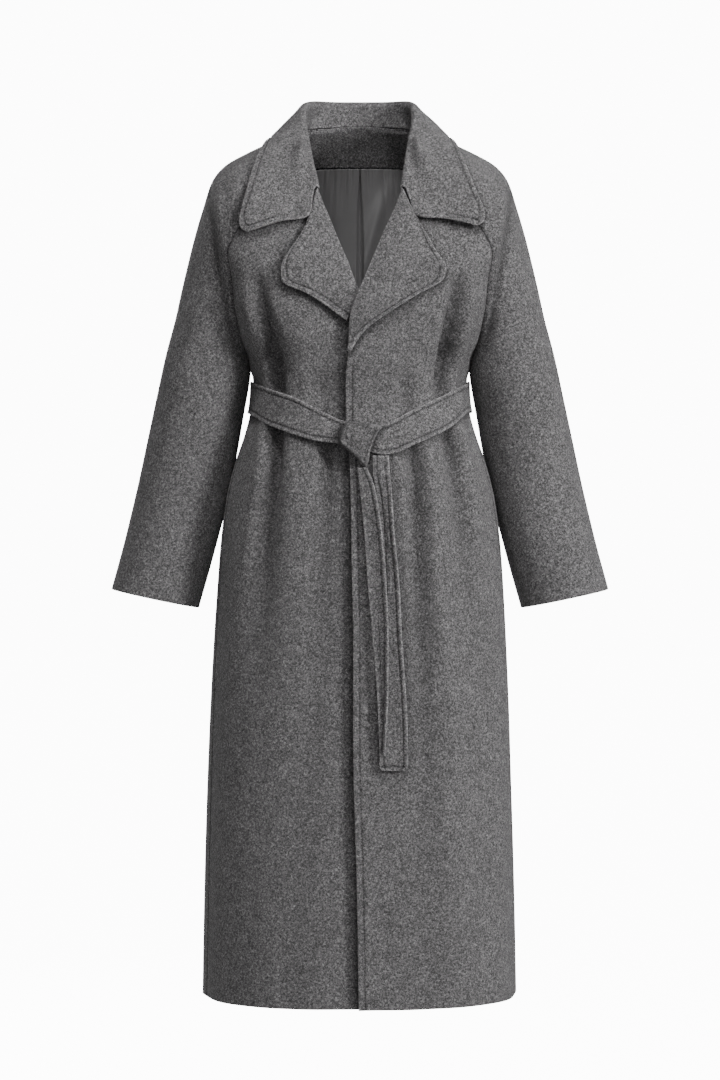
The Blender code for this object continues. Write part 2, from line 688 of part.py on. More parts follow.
lining_lines = []
for i in range(11):
    z = -13.4 - 330 * i / 10
    pleat = 2.0 + 4.5 * step(0, 3, i)
    line = []
    for x, sink in ((-96, 0), (-76, 0), (-56, 0), (-36, 0), (-16, 0), (-pleat, 0), (-0.6, 4.5),
                    (0.6, 4.5), (pleat, 0), (16, 0), (36, 0), (56, 0), (76, 0), (96, 0)):
        base = inside_back(x, z, SHELL / 2 + 6.2)
        for name, side, face, path in CREASES:
            if face == "back" and 60 > abs(x) > 30:
                base[1] = base[1]
        line.append(base + np.array([0, sink, 0]))
    lining_lines.append(line)
lining_back = Panel("lining_back", lining_lines, lambda p: [0, 1, 0], LINING)

# Belt round the waist: open behind the knot.


def belt_line(place):
    """Belt point data for place: -2..2, minus on the wearer's right, 0 at the knot."""
    sign = 1 if place >= 0 else -1
    q = abs(place)
    lines = []
    row = 10.6
    for _ in range(6):
        base = body_point(row, q, sign)
        if q <= 1:
            high = np.interp(base[0], BELT_EDGE["x"], BELT_EDGE["high"])
            low = np.interp(base[0], BELT_EDGE["x"], BELT_EDGE["low"])
        else:
            part = step(1, 1.9, q)
            high = -329 + 3 * part
            low = high - 45
        middle = -(high + low) / 2
        row = float(np.interp(middle, TRUNK["down"], TRUNK["row"]))
    for part in (0, 0.5, 1):
        z = high + (low - high) * part
        r = float(np.interp(-z, TRUNK["down"], TRUNK["row"]))
        p = body_point(r, q, sign)
        out = unit(np.array([p[0] / 150 ** 2, p[1] / 125 ** 2, 0]))
        p = p + out * (SHELL / 2 + 0.9 + BELT / 2)
        p[2] = z
        lines.append(p)
    return lines


belt_places = [0.02, 0.12, 0.22, 0.32, 0.42] + [0.5 + 0.065 * i for i in range(16)]
belt_places += [1.56, 1.67, 1.78, 1.89, 2.0]
belt_grid = [belt_line(p) for p in belt_places]
belt_grid += [belt_line(-p) for p in reversed(belt_places[:-1])]
belt_waist = Panel("belt_waist", belt_grid, out_of_body, BELT)

# Knot: a soft lump standing on the belt.


def body_front(x, z):
    row = float(np.interp(-z, TRUNK["down"], TRUNK["row"]))
    q = 0.0
    for _ in range(30):
        p = body_point(row, q, 1)
        q += (abs(x) - p[0]) / 400
    return p[1]


knot_points, knot_faces = [], []
knot_centre = np.array([0, -419])
outline = [np.array(p, float) for p in KNOT]
knot_lift = SHELL / 2 + 0.9 + BELT + 0.8
rings = [(1.0, 0.0), (1.0, 5.0), (0.93, 9.5), (0.7, 13.0), (0.35, 15.0)]
for scale, height in rings:
    for p in outline:
        q = knot_centre + (p - knot_centre) * scale
        knot_points.append([q[0], body_front(q[0], q[1]) - knot_lift - height, q[1]])
front_tip = len(knot_points)
knot_points.append([0, body_front(0, -419) - knot_lift - 15.6, -419])
back_tip = front_tip + 1
knot_points.append([0, body_front(0, -419) - knot_lift, -419])
n = len(outline)
for r in range(len(rings) - 1):
    for k in range(n):
        a, b = r * n + k, r * n + (k + 1) % n
        knot_faces += [(a, b, b + n), (a, b + n, a + n)]
for k in range(n):
    a, b = (len(rings) - 1) * n + k, (len(rings) - 1) * n + (k + 1) % n
    knot_faces.append((a, b, front_tip))
    knot_faces.append(((k + 1) % n, k, back_tip))
knot_faces = [f[::-1] for f in knot_faces]


def tail_grid(table, cols):
    lines = []
    for down in table["down"]:
        left = read(table, "down", "left", down)
        right = read(table, "down", "right", down)
        line = []
        for j in range(cols + 1):
            u = j / cols
            x = left + (right - left) * u
            off = read(table, "down", "off_l", down) * (1 - u) + read(table, "down", "off_r", down) * u
            line.append([x, body_front(x, -down) - off, -down])
        lines.append(line)
    return lines


tail_a = Panel("belt_end_right", tail_grid(TAIL_A, 3), lambda p: [0, -1, 0], BELT)
tail_b = Panel("belt_end_left", tail_grid(TAIL_B, 3), lambda p: [0, -1, 0], BELT)

for panel in shell + [lapel_left, lapel_right, collar, neck_facing, belt_waist, tail_a, tail_b]:
    panel.build(wool)
lining_back.build(satin)
make_mesh("belt_knot", np.array(knot_points) * MM, knot_faces, wool)
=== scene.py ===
import bpy
import math
import numpy as np
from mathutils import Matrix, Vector
from mathutils.bvhtree import BVHTree


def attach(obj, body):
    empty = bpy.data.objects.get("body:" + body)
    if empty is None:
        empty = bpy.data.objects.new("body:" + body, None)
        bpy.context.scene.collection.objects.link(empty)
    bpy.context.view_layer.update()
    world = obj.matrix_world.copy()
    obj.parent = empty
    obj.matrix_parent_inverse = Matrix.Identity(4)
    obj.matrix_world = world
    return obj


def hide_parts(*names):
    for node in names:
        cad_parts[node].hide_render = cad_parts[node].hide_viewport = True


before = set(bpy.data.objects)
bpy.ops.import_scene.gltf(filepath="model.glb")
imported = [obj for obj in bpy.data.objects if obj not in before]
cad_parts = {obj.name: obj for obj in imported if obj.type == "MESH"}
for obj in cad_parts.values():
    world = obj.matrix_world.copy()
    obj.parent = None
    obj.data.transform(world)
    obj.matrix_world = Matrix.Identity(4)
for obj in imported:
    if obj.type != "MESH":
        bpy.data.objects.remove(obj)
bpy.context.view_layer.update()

# All tables are millimetres in the same frame as the part: +X wearer's left, -Y front, +Z up.
mm = 0.001
armpit = 9.0
cloth = {"shell": 2.4, "lapel": 3.2, "collar": 3.4, "belt": 3.4, "facing": 1.8, "lining": 1.0}

# Sleeve stations from the neck (0) to the cuff (13). top: point on the outer line; front and
# back: the two raglan seams, which meet under the arm at 9; turn: degrees of the oval between
# the outer line and that seam; deep: half depth of the oval.
sleeveTable = {
    "row":        [0, 1, 2, 3, 4, 5, 6, 7, 8, 9, 10, 11, 12, 13],
    "topX":      [80, 118, 160, 191, 209, 221, 233, 247, 261, 275, 290, 312, 333, 352],
    "topY":      [8, 8, 7, 6, 5, 4, 3, 2, 1, 0, 8, 14, 10, 4],
    "topZ":      [33, 14, -6, -24, -46, -82, -122, -178, -238, -294, -360, -460, -552, -624],
    "frontX":    [77, 100, 131, 158, 175, 184, 178, 174, 166, 156, 168, 187, 210, 230],
    "frontZ":    [0, -40, -78, -110, -133, -157, -188, -226, -268, -309, -386, -487, -578, -650],
    "frontTurn": [90, 90, 90, 90, 91, 94, 100, 115, 146, 180, 180, 180, 180, 180],
    "frontDeep": [46, 74, 95, 103, 99, 90, 78, 70, 66, 64, 64, 65, 64, 63],
    "backX":     [62, 92, 124, 150, 165, 174, 176, 173, 166, 156, 168, 187, 210, 230],
    "backZ":     [38, -14, -52, -88, -120, -152, -188, -228, -270, -309, -386, -487, -578, -650],
    "backTurn":  [90, 90, 90, 90, 92, 96, 103, 120, 150, 180, 180, 180, 180, 180],
    "backDeep":  [52, 82, 100, 108, 106, 100, 90, 80, 72, 66, 64, 65, 64, 63],
}
# Front of the body above the underarm: the curve from the middle line to the raglan seam.
chestTable = {
    "row":        [0, 1, 2, 3, 4, 5, 6, 7, 8, 9],
    "midY":      [-100, -104, -109, -114, -118, -121, -123, -125, -125, -124],
    "midZ":      [-124, -134, -146, -160, -174, -190, -211, -240, -276, -310],
    "midPull":   [60, 54, 56, 64, 78, 96, 108, 112, 104, 95],
    "seamTurn":  [95, 130, 156, 166, 150, 122, 92, 86, 87, 90],
    "seamPull":  [35, 30, 40, 48, 40, 36, 38, 48, 62, 75],
}
# Back of the body above the underarm.
upperBackTable = {
    "row":        [0, 1, 2, 3, 4, 5, 6, 7, 8, 9],
    "midY":      [82, 95, 106, 113, 117, 119, 119, 118, 116, 114],
    "midZ":      [44, 4, -36, -74, -108, -144, -186, -228, -270, -310],
    "midPull":   [30, 38, 46, 54, 62, 74, 88, 98, 98, 95],
    "seamTurn":  [140, 152, 160, 158, 138, 114, 96, 88, 88, 90],
    "seamPull":  [24, 32, 40, 48, 44, 36, 40, 50, 62, 69],
}
# Rings of the body below the underarm: half width, depth to front and back, y of the widest
# point, and where along the front quarter the side seam lies (1 is the widest point).
trunkTable = {
    "row":   [9, 9.45, 10, 10.6, 11.2, 11.8, 12.4, 13.1, 13.9, 14.8, 15.6, 16.4, 17.2, 18],
    "down":  [310, 328, 352, 378, 408, 444, 490, 552, 632, 724, 830, 950, 1076, 1197],
    "wide":  [156, 150.5, 151, 155, 163, 175, 187, 196, 203, 209, 214, 218, 221, 223],
    "front": [124, 121, 119, 121, 127, 132, 138, 143, 148, 151, 154, 158, 162, 165],
    "back":  [114, 111, 110, 113, 120, 127, 133, 139, 145, 150, 155, 159, 163, 166],
    "side":  [0, -3, -6, -10, -15, -20, -22, -20, -14, -8, -4, 0, 0, 0],
    "seam":  [1, 0.97, 0.94, 0.92, 0.9, 0.885, 0.88, 0.88, 0.88, 0.88, 0.88, 0.88, 0.88, 0.88],
}
# Edges of the two fronts, x by height: roll line at the top, then the cut front edge.
wrapEdge = {
    "down": [40, 64, 78, 110, 160, 244, 299, 331, 391, 439, 581, 703, 826, 1030, 1200],
    "x":    [68, 59, 54, 41, 20, -14, -17, -20, -20, -15, -12, -10, -10, -5, -2],
}
underEdge = {
    "down": [40, 64, 67, 110, 160, 204, 250, 300, 350, 450, 800, 1200],
    "x":    [69, 60, 59, 41.5, 21, 4, -18, -40, -60, -70, -74, -76],
}
# Creases: name, side (+1, -1 or 0 for both), whether on the front or back, then the path as
# (down, x, depth, half width).
creases = [
    ("chestValley", 1, "front", [(176, 138, 0, 9), (225, 133, 10, 10), (285, 122, 16, 9),
                                  (338, 113, 11, 8), (372, 117, 6, 8), (411, 124, 11, 9),
                                  (470, 134, 8, 11), (600, 146, 3, 14), (760, 152, 0, 18)]),
    ("chestValley", -1, "front", [(180, -144, 0, 9), (228, -137, 9, 10), (285, -122, 14, 10),
                                   (338, -114, 10, 8), (372, -116, 6, 8), (411, -118, 13, 9),
                                   (480, -122, 11, 11), (590, -132, 6, 15), (740, -142, 2, 20),
                                   (900, -150, 0, 24)]),
    ("beltValley", 1, "front", [(300, 66, 0, 12), (345, 62, 4, 10), (400, 68, 3, 9),
                                 (450, 76, 9, 10), (560, 80, 8, 13), (760, 88, 5, 18),
                                 (1000, 96, 3, 26), (1197, 100, 3, 30)]),
    ("beltValley", -1, "front", [(300, -50, 0, 12), (345, -54, 4, 10), (400, -48, 3, 10),
                                  (450, -46, 7, 11), (560, -52, 5, 14), (800, -66, 3, 22),
                                  (1197, -84, 3, 30)]),
    ("backValley", 1, "back", [(190, 112, 0, 12), (260, 108, 6, 13), (330, 98, 8, 11),
                                (410, 104, 8, 12), (500, 116, 5, 16), (760, 128, 3, 22),
                                (1197, 140, 3, 28)]),
    ("backValley", -1, "back", [(190, -112, 0, 12), (260, -106, 6, 13), (330, -97, 8, 11),
                                 (410, -102, 8, 12), (500, -113, 5, 16), (760, -124, 3, 22),
                                 (1197, -138, 3, 28)]),
    ("backFold", 0, "back", [(260, 46, 0, 12), (330, 40, 6, 10), (410, 42, 6, 11),
                              (560, 50, 4, 17), (800, 56, 3, 24), (1197, 60, 4, 30)]),
]
# Collar sections from the gorge (0) round to the centre back (8): roll line, middle and edge.
collarSections = {
    "key":    [0, 1, 2, 3, 4, 5, 6, 7, 8],
    "rollX": [60.2, 63, 67, 72, 77, 77, 65, 38, 0],
    "rollY": [-92, -82, -62, -38, -10, 22, 64, 86, 92],
    "rollZ": [-63, -43, -14, 16, 46, 68, 80, 82, 82],
    "midX":  [75.8, 92, 98, 100, 103, 104, 93, 54, 0],
    "midY":  [-108, -96, -74, -48, -18, 20, 76, 106, 114],
    "midZ":  [-102.5, -74, -38, -6, 24, 44, 42, 42, 42],
    "edgeX": [162, 174, 157, 142, 134, 132, 122, 72, 0],
    "edgeY": [-106, -104, -82, -54, -26, 14, 86, 124, 132],
    "edgeZ": [-120, -108, -64, -26, 2, 13, -4, -12, -14],
}
# Lapels, from the gorge (0) to the break point (1): roll line and outer edge in elevation.
wrapLapel = {
    "key":    [0, 0.14, 0.3, 0.42, 0.5, 0.62, 0.75, 0.86, 0.94, 1],
    "rollX": [58.4, 48, 31, 17, 8, -5, -13, -15, -16, -17],
    "rollZ": [-65, -93, -133, -166, -188, -219, -242, -262, -281, -294],
    "edgeX": [74, 90, 105, 118, 113, 78, 40, 12, -4, -13],
    "edgeZ": [-104, -130, -157, -179, -195, -217, -241, -261, -280, -296],
}
underLapel = {
    "key":    [0, 0.2, 0.42, 0.55, 0.7, 0.85, 1],
    "rollX": [59.4, 48, 33, 24, 15, 6, -2],
    "rollZ": [-66, -94, -131, -153, -175, -197, -217],
    "edgeX": [67, 84, 108, 106, 76, 46, 18],
    "edgeZ": [-103, -136, -179, -198, -214, -233, -252],
}
# Belt edges in elevation on the front, by x.
beltEdge = {
    "x":    [-170, -154, -123, -92, -60, -19, 10, 30, 45, 68, 117, 152, 170],
    "high": [-322, -329, -344, -356, -373, -391, -396, -396, -390, -377, -352, -331, -323],
    "low":  [-368, -374, -393, -406, -417, -423, -432, -437, -435, -424, -399, -371, -367],
}
# Knot outline, seen from the front.
knotOutline = [(-18, -391), (-2, -393), (20, -395), (32, -399), (26, -404), (20, -415), (16, -425),
        (13, -438), (12, -447), (8, -454), (1, -450), (-6, -441), (-16, -432), (-28, -424),
        (-30, -417), (-28, -406), (-24, -398)]
# Belt ends below the knot: height, the two edges, and how far each stands off the body.
endRight = {
    "down":  [454.7, 480, 540, 613, 690, 770, 849],
    "left":  [-4, -1, 5, 10, 17, 23, 27],
    "right": [10, 20, 30, 36, 39, 38, 34],
    "offL": [6, 7, 8, 9, 9, 9, 9],
    "offR": [9, 14, 18, 20, 20, 18, 15],
}
endLeft = {
    "down":  [437.8, 458, 488, 540, 613, 692, 799, 862, 870],
    "left":  [17, 17, 22, 27, 30, 29, 27, 26, 29],
    "right": [40, 41, 44, 47, 54, 58, 65, 66, 62],
    "offL": [4, 5, 5, 5, 5, 5, 5, 5, 5],
    "offR": [4, 8, 12, 13, 12, 10, 9, 8, 8],
}


def hermite(k, v, slope, at):
    gap = np.diff(k)
    i = np.clip(np.searchsorted(k, at, side="right") - 1, 0, len(k) - 2)
    s = (at - k[i]) / gap[i]
    return ((1 + 2 * s) * (1 - s) ** 2 * v[i] + s * (1 - s) ** 2 * gap[i] * slope[i]
            + s * s * (3 - 2 * s) * v[i + 1] + s * s * (s - 1) * gap[i] * slope[i + 1])


def smooth(keys, values, at):
    k, v = np.asarray(keys, float), np.asarray(values, float)
    at = np.clip(np.asarray(at, float), k[0], k[-1])
    gap = np.diff(k)
    rise = np.diff(v) / gap
    before, after = rise[:-1], rise[1:]
    total = np.where(np.abs(before + after) < 1e-12, 1e-12, before + after)
    middle = np.where(before * after > 0, before * after / total + total * 0.25, 0)
    return hermite(k, v, np.concatenate([[rise[0]], middle, [rise[-1]]]), at)


def read(table, key, column, at):
    return smooth(table[key], table[column], at)


def step(low, high, value):
    s = np.clip((value - low) / (high - low), 0, 1)
    return s * s * (3 - 2 * s)


def unit(v):
    return v / np.maximum(np.linalg.norm(v, axis=-1, keepdims=True), 1e-9)


def sleeveRow(row, w):
    # w runs from 1 (front seam) by 0 (outer line) to -1 (back seam)
    w = np.asarray(w, float)
    top = np.array([read(sleeveTable, "row", "top" + c, row) for c in "XYZ"])
    out = np.zeros((len(w), 3))
    for side, mask, forward in (("front", w >= 0, -1), ("back", w < 0, 1)):
        turn = math.radians(read(sleeveTable, "row", side + "Turn", row))
        across = np.array([read(sleeveTable, "row", side + "X", row) - top[0], 0,
                           read(sleeveTable, "row", side + "Z", row) - top[2]]) / (1 - math.cos(turn))
        angle = np.abs(w[mask]) * turn
        deep = float(read(sleeveTable, "row", side + "Deep", row))
        out[mask] = top + across * (1 - np.cos(angle))[:, None]
        out[mask, 1] += forward * deep * np.sin(angle)
    return out


def halfRing(row, u, facing):
    # u 0 on the middle line, 1 at the side; facing -1 front, 1 back
    u = np.asarray(u, float)
    if row <= armpit:
        table = chestTable if facing < 0 else upperBackTable
        mid = [0, float(read(table, "row", "midY", row)), float(read(table, "row", "midZ", row))]
        pull = float(read(table, "row", "midPull", row))
        end = sleeveRow(row, [1.0 if facing < 0 else -1.0])[0]
        far = math.radians(read(table, "row", "seamTurn", row))
        endPull = float(read(table, "row", "seamPull", row))
    else:
        down, wide, side = (float(read(trunkTable, "row", c, row)) for c in ("down", "wide", "side"))
        deep = float(read(trunkTable, "row", "front" if facing < 0 else "back", row))
        mid, end = [0, facing * deep, -down], [wide, side, -down]
        pull, far, endPull = 0.61 * wide, math.pi / 2, 0.6 * abs(facing * deep - side)
    hMid = (mid[0] + pull, mid[1])
    hEnd = (end[0] + endPull * math.cos(far), end[1] + facing * endPull * math.sin(far))
    w = 1 - u
    out = np.zeros((len(u), 3))
    for a in range(2):
        out[:, a] = w ** 3 * mid[a] + 3 * w * w * u * hMid[a] + 3 * w * u * u * hEnd[a] + u ** 3 * end[a]
    out[:, 2] = mid[2] + (end[2] - mid[2]) * u
    return out


def bodyRow(row, q, sign):
    # q from -1 (past the middle of the front) by 0 (front), 1 (side) to 2 (centre back)
    q = np.asarray(q, float)
    out = np.zeros((len(q), 3))
    past, front = q < 0, (q >= 0) & (q <= 1)
    behind = q > 1
    if past.any():
        out[past] = halfRing(row, -q[past], -1) * [-1, 1, 1]
    if front.any():
        out[front] = halfRing(row, q[front], -1)
    if behind.any():
        out[behind] = halfRing(row, 2 - q[behind], 1)
    return out * [sign, 1, 1]


# Slow sways of the hanging cloth: height they start and are full, depth in mm, waves round the body;
# then how deep the creases and their outer ridges are, and how far the free front edge stands off
sway = {"start": 250, "full": 900, "depth": 2.6, "swing": 0.95, "waves": 9.0, "crease": 1.5, "ridge": 0.34,
        "edgeLift": 2.6}
creasePaths = [(side, face, np.array(path, float)) for name, side, face, path in creases]


def foldDepth(points, ridge=0.0):
    # depth of the creases at each point, with a raised ridge on the outer side of each
    down = -points[:, 2]
    depth = np.zeros(len(points))
    for side, face, path in creasePaths:
        mask = ((points[:, 1] < -20) if face == "front" else (points[:, 1] >= -20)) & (down >= path[0, 0])
        if not mask.any():
            continue
        centre, amount, half = (smooth(path[:, 0], path[:, c], down[mask]) for c in (1, 2, 3))
        x = points[mask, 0]
        for place in ([centre, -centre] if side == 0 else [centre]):
            depth[mask] += amount * np.exp(-((x - place) / half) ** 2)
            outer = place + np.sign(place) * half * 1.75
            depth[mask] -= ridge * amount * np.exp(-((x - outer) / (half * 0.85)) ** 2)
    return depth


def outOfBody(points):
    return points * [1 / 150 ** 2, 1 / 125 ** 2, 0]


def creased(points):
    depth = sway["crease"] * foldDepth(points, sway["ridge"])
    return points - unit(outOfBody(points)) * depth[:, None]


def swayed(points):
    down = -points[:, 2]
    turn = np.arctan2(points[:, 1] / 0.72, points[:, 0])
    lift = sway["depth"] * step(sway["start"], sway["full"], down)
    wave = np.sin(turn * sway["waves"] + down * 0.0021) + 0.6 * np.sin(turn * 5.3 + 1.1 - down * 0.0034)
    small = 0.5 * np.sin(turn * 17.0 + down * 0.006) * step(330, 420, down) * (1 - step(600, 900, down))
    waist = np.exp(-((down - 372) / 46) ** 2)
    depth = (lift * (1 + wave * sway["swing"]) * 0.8 + small * 1.4) * (1 - waist)
    return points - unit(outOfBody(points)) * depth[:, None]


def crossing(row, edge):
    low, high = -0.75, 0.98
    for _ in range(26):
        q = (low + high) / 2
        p = bodyRow(row, [q], 1)[0]
        if p[0] > read(edge, "down", "x", -p[2]):
            high = q
        else:
            low = q
    return (low + high) / 2


def seamPlace(row):
    return 1.0 if row <= armpit else float(read(trunkTable, "row", "seam", row))


# Fine steps beside both ends of a row, so that edges and pressed lines can be round
edgeSteps = [0, 0.35, 0.9, 1.7, 2.8, 4.4, 5.6, 6.5, 7.5, 8.6, 9.6, 10.6, 11.8]


def fitMarks(length, count):
    scale = min(1, length / 24)
    near = [s * scale for s in edgeSteps]
    inner = length - 2 * near[-1]
    middle = [near[-1] + inner * i / count for i in range(1, count)]
    return np.array(near + middle + [length - s for s in reversed(near)])


def marks(length, spacing):
    inner = length - 2 * edgeSteps[-1] * min(1, length / 24)
    return fitMarks(length, max(1, int(round(inner / spacing))))


def lengths(points):
    return np.concatenate([[0], np.cumsum(np.linalg.norm(np.diff(points, axis=0), axis=1))])


def spreadRow(curve, start, stop, count):
    # curve(values) gives points; the row is read at even lengths with fine ends
    rough = np.linspace(start, stop, 60)
    length = lengths(curve(rough))
    return curve(np.interp(fitMarks(length[-1], count), length, rough))


def rowKeys(lengthAt, first, last, spacing):
    # row numbers at even lengths down the piece, with fine steps at top and bottom
    rough = np.linspace(first, last, 200)
    length = lengths(np.array([lengthAt(r) for r in rough]))
    return np.interp(marks(length[-1], spacing), length, rough)


def frontGrid(sign, edge, under, spacing=7.0, count=34):
    keys = rowKeys(lambda r: bodyRow(r, [0.8], sign)[0], 0, 18, spacing)
    grid = []
    for row in keys:
        line = spreadRow(lambda q: bodyRow(row, q, sign), crossing(row, edge), seamPlace(row), count)
        if under:
            inset = np.where(line[:, 0] < 0, 9.5 * (1 - step(28, 90, np.abs(line[:, 0]))), 9.5)
            line[:, 1] += inset * step(0, 3, row)
        fade = step(0, 30, np.linalg.norm(line - line[-1], axis=1)) if row <= armpit else 1.0
        moved = swayed(creased(line))
        if not under:  # the free edge stands a little off the front below it
            edgeNear = np.exp(-(np.linalg.norm(line - line[0], axis=1) / 16) ** 2)
            moved[:, 1] -= sway["edgeLift"] * step(440, 640, -line[:, 2]) * edgeNear
        grid.append(line + (moved - line) * (fade[:, None] if row <= armpit else 1.0))
    return np.array(grid)


def backGrid(spacing=7.0, count=40):
    keys = rowKeys(lambda r: bodyRow(r, [1.5], 1)[0], 0, 18, spacing)
    grid = []
    for row in keys:
        start = seamPlace(row) if row > armpit else 1.0000001

        def whole(t):
            t = np.asarray(t, float)
            left = bodyRow(row, start + (2 - start) * np.clip(t, 0, 1), -1)
            right = bodyRow(row, start + (2 - start) * np.clip(2 - t, 0, 1), 1)
            return np.where((t <= 1)[:, None], left, right)
        line = spreadRow(whole, 0.0, 2.0, count)
        fade = 1.0
        if row <= armpit:
            near = [np.linalg.norm(line - line[end], axis=1) for end in (0, -1)]
            fade = step(0, 30, np.minimum(*near))[:, None]
        grid.append(line + (swayed(creased(line)) - line) * fade)
    return np.array(grid)


# Soft creases of the sleeve: row, turn round the arm, depth, reach along, reach round
sleeveFolds = [(9.2, 0.55, 2.2, 0.35, 0.22), (9.9, 0.75, 2.6, 0.3, 0.16), (10.5, 0.62, 1.8, 0.28, 0.2),
               (10.2, -0.6, 2.4, 0.34, 0.2), (10.9, -0.35, 1.6, 0.3, 0.24), (8.2, 0.2, 1.4, 0.5, 0.2),
               (11.4, 0.4, 1.2, 0.4, 0.3), (7.2, -0.3, 1.2, 0.5, 0.2)]


# The fold that hangs from the shoulder point down the front of the sleeve, x by height
armFold = {"down": [20, 60, 100, 164, 226, 290], "x": [208, 206, 202, 192, 181, 170],
           "sink": 5.5, "rise": 3.8}


def sleeveGrid(sign, spacing=7.0, count=44):
    keys = rowKeys(lambda r: sleeveRow(r, [0.0])[0], 0, 13, spacing)
    grid = []
    for row in keys:
        rough = np.linspace(1, -1, 90)
        length = lengths(sleeveRow(row, rough))
        w = np.interp(fitMarks(length[-1], count), length, rough)
        line = sleeveRow(row, w)
        out = unit(line - line.mean(axis=0))
        dent = np.zeros(len(w))
        for at, around, depth, along, reach in sleeveFolds:
            slant = at + 0.5 * (w - around)
            dent += depth * np.exp(-((row - slant) / along) ** 2 - ((w - around) / reach) ** 2)
        down = -line[:, 2]
        off = line[:, 0] - read(armFold, "down", "x", down)
        held = step(18, 55, down) * (1 - step(250, 320, down)) * step(12, 40, -line[:, 1])
        dent += armFold["sink"] * np.exp(-((off - 6) / 6) ** 2) * held
        dent -= armFold["rise"] * np.exp(-((off + 5) / 7) ** 2) * held
        line = line - out * (dent * (1 - step(0.8, 1.0, np.abs(w))))[:, None]
        grid.append(line * [sign, 1, 1])
    return np.array(grid)


# Painted shade: how dark the cloth is painted in the folds, and close under the edges of the cloth above it
paintedShadeLook = {"fold": 0.075, "foldMost": 1.0, "edge": 0.95, "edgeReach": 4.2, "belt": 0.8, "beltReach": 7.0,
           "tail": 0.6, "tailReach": 8.0, "arm": 0.75}


def closeTo(points, xs, downs, reach):
    # 1 on a line drawn on the front, fading away from it
    xs, downs = np.array(xs, float), np.array(downs, float)
    along = np.linspace(0, len(xs) - 1, 260)
    order = np.arange(len(xs))
    far = np.full(len(points), 1e9)
    for x, down in zip(np.interp(along, order, xs), np.interp(along, order, downs)):
        far = np.minimum(far, np.hypot(points[:, 0] - x, -points[:, 2] - down))
    return np.exp(-(far / reach) ** 2) * (points[:, 1] < 0)


# painted shadow on the cloth under the collar's outer edge
def collarShade(points, sign, count):
    xs, downs = sign * np.array(collarSections["edgeX"][:count]), -np.array(collarSections["edgeZ"][:count])
    return paintedShadeLook["edge"] * closeTo(points, xs, downs, paintedShadeLook["edgeReach"])


# painted shade on a front: in its folds, and painted shadows under the lapel, collar and belt edges, beside a
# belt end and beside the wrap edge
def paintedFrontShade(grid, sign):
    points = grid.reshape(-1, 3)
    lapel = wrapLapel if sign > 0 else underLapel
    edge, reach = paintedShadeLook["edge"], paintedShadeLook["edgeReach"]
    shades = [np.minimum(paintedShadeLook["fold"] * foldDepth(points), paintedShadeLook["foldMost"]),
              edge * closeTo(points, sign * np.array(lapel["edgeX"]), -np.array(lapel["edgeZ"]), reach),
              collarShade(points, sign, 5),
              edge * closeTo(points, sign * np.array([76, 162]), [106, 122], reach),
              paintedShadeLook["belt"] * closeTo(points, beltEdge["x"], 2 - np.array(beltEdge["low"]),
                                        paintedShadeLook["beltReach"]),
              paintedShadeLook["tail"] * closeTo(points, np.array(endLeft["right"]) + 3, endLeft["down"],
                                        paintedShadeLook["tailReach"])]
    if sign < 0:
        shades.append(edge * closeTo(points, wrapEdge["x"][5:], wrapEdge["down"][5:], paintedShadeLook["beltReach"]))
    return np.maximum.reduce(shades).reshape(grid.shape[:2])


# painted shade on a sleeve: down the fold from the shoulder point, and a painted shadow under the collar edge
def armShade(grid, sign):
    points = grid.reshape(-1, 3) * [sign, 1, 1]
    down = -points[:, 2]
    off = points[:, 0] - read(armFold, "down", "x", down)
    held = step(10, 45, down) * (1 - step(230, 320, down)) * step(5, 30, -points[:, 1])
    shade = paintedShadeLook["arm"] * np.exp(-((off - 6) / 5) ** 2) * held
    return np.maximum(shade, collarShade(points, 1, 6)).reshape(grid.shape[:2])


def gridNormals(grid, hint):
    normal = unit(np.cross(np.gradient(grid, axis=0), np.gradient(grid, axis=1)))
    want = np.array([hint(p) for p in grid.reshape(-1, 3)]).reshape(grid.shape)
    return -normal if np.sum(normal * want) < 0 else normal


def distances(grid):
    # length along rows and columns, from both ends
    across = np.linalg.norm(np.diff(grid, axis=1), axis=2)
    u = np.concatenate([np.zeros((grid.shape[0], 1)), np.cumsum(across, axis=1)], axis=1)
    along = np.linalg.norm(np.diff(grid, axis=0), axis=2)
    v = np.concatenate([np.zeros((1, grid.shape[1])), np.cumsum(along, axis=0)], axis=0)
    return u, v, u[:, -1:] - u, v[-1:, :] - v


# Stitched lines: distance in from the edge, depth and half width of the pressed line, width of the painted
# highlight along the rim, then the stitches; overlap is how far seamed sides run on
stitchLook = {"inset": 9.4, "beltInset": 6.5, "depth": 1.3, "half": 1.1, "rim": 2.6, "pitch": 4.0,
              "length": 2.5, "thick": 0.42, "overlap": 0.9}
seamLook = {"reach": 2.2, "depth": 1.1}
pieceNotes = {}


def quads(index):
    corners = [index[:-1, :-1], index[1:, :-1], index[1:, 1:], index[:-1, 1:]]
    return np.stack(corners, axis=-1).reshape(-1, 4)


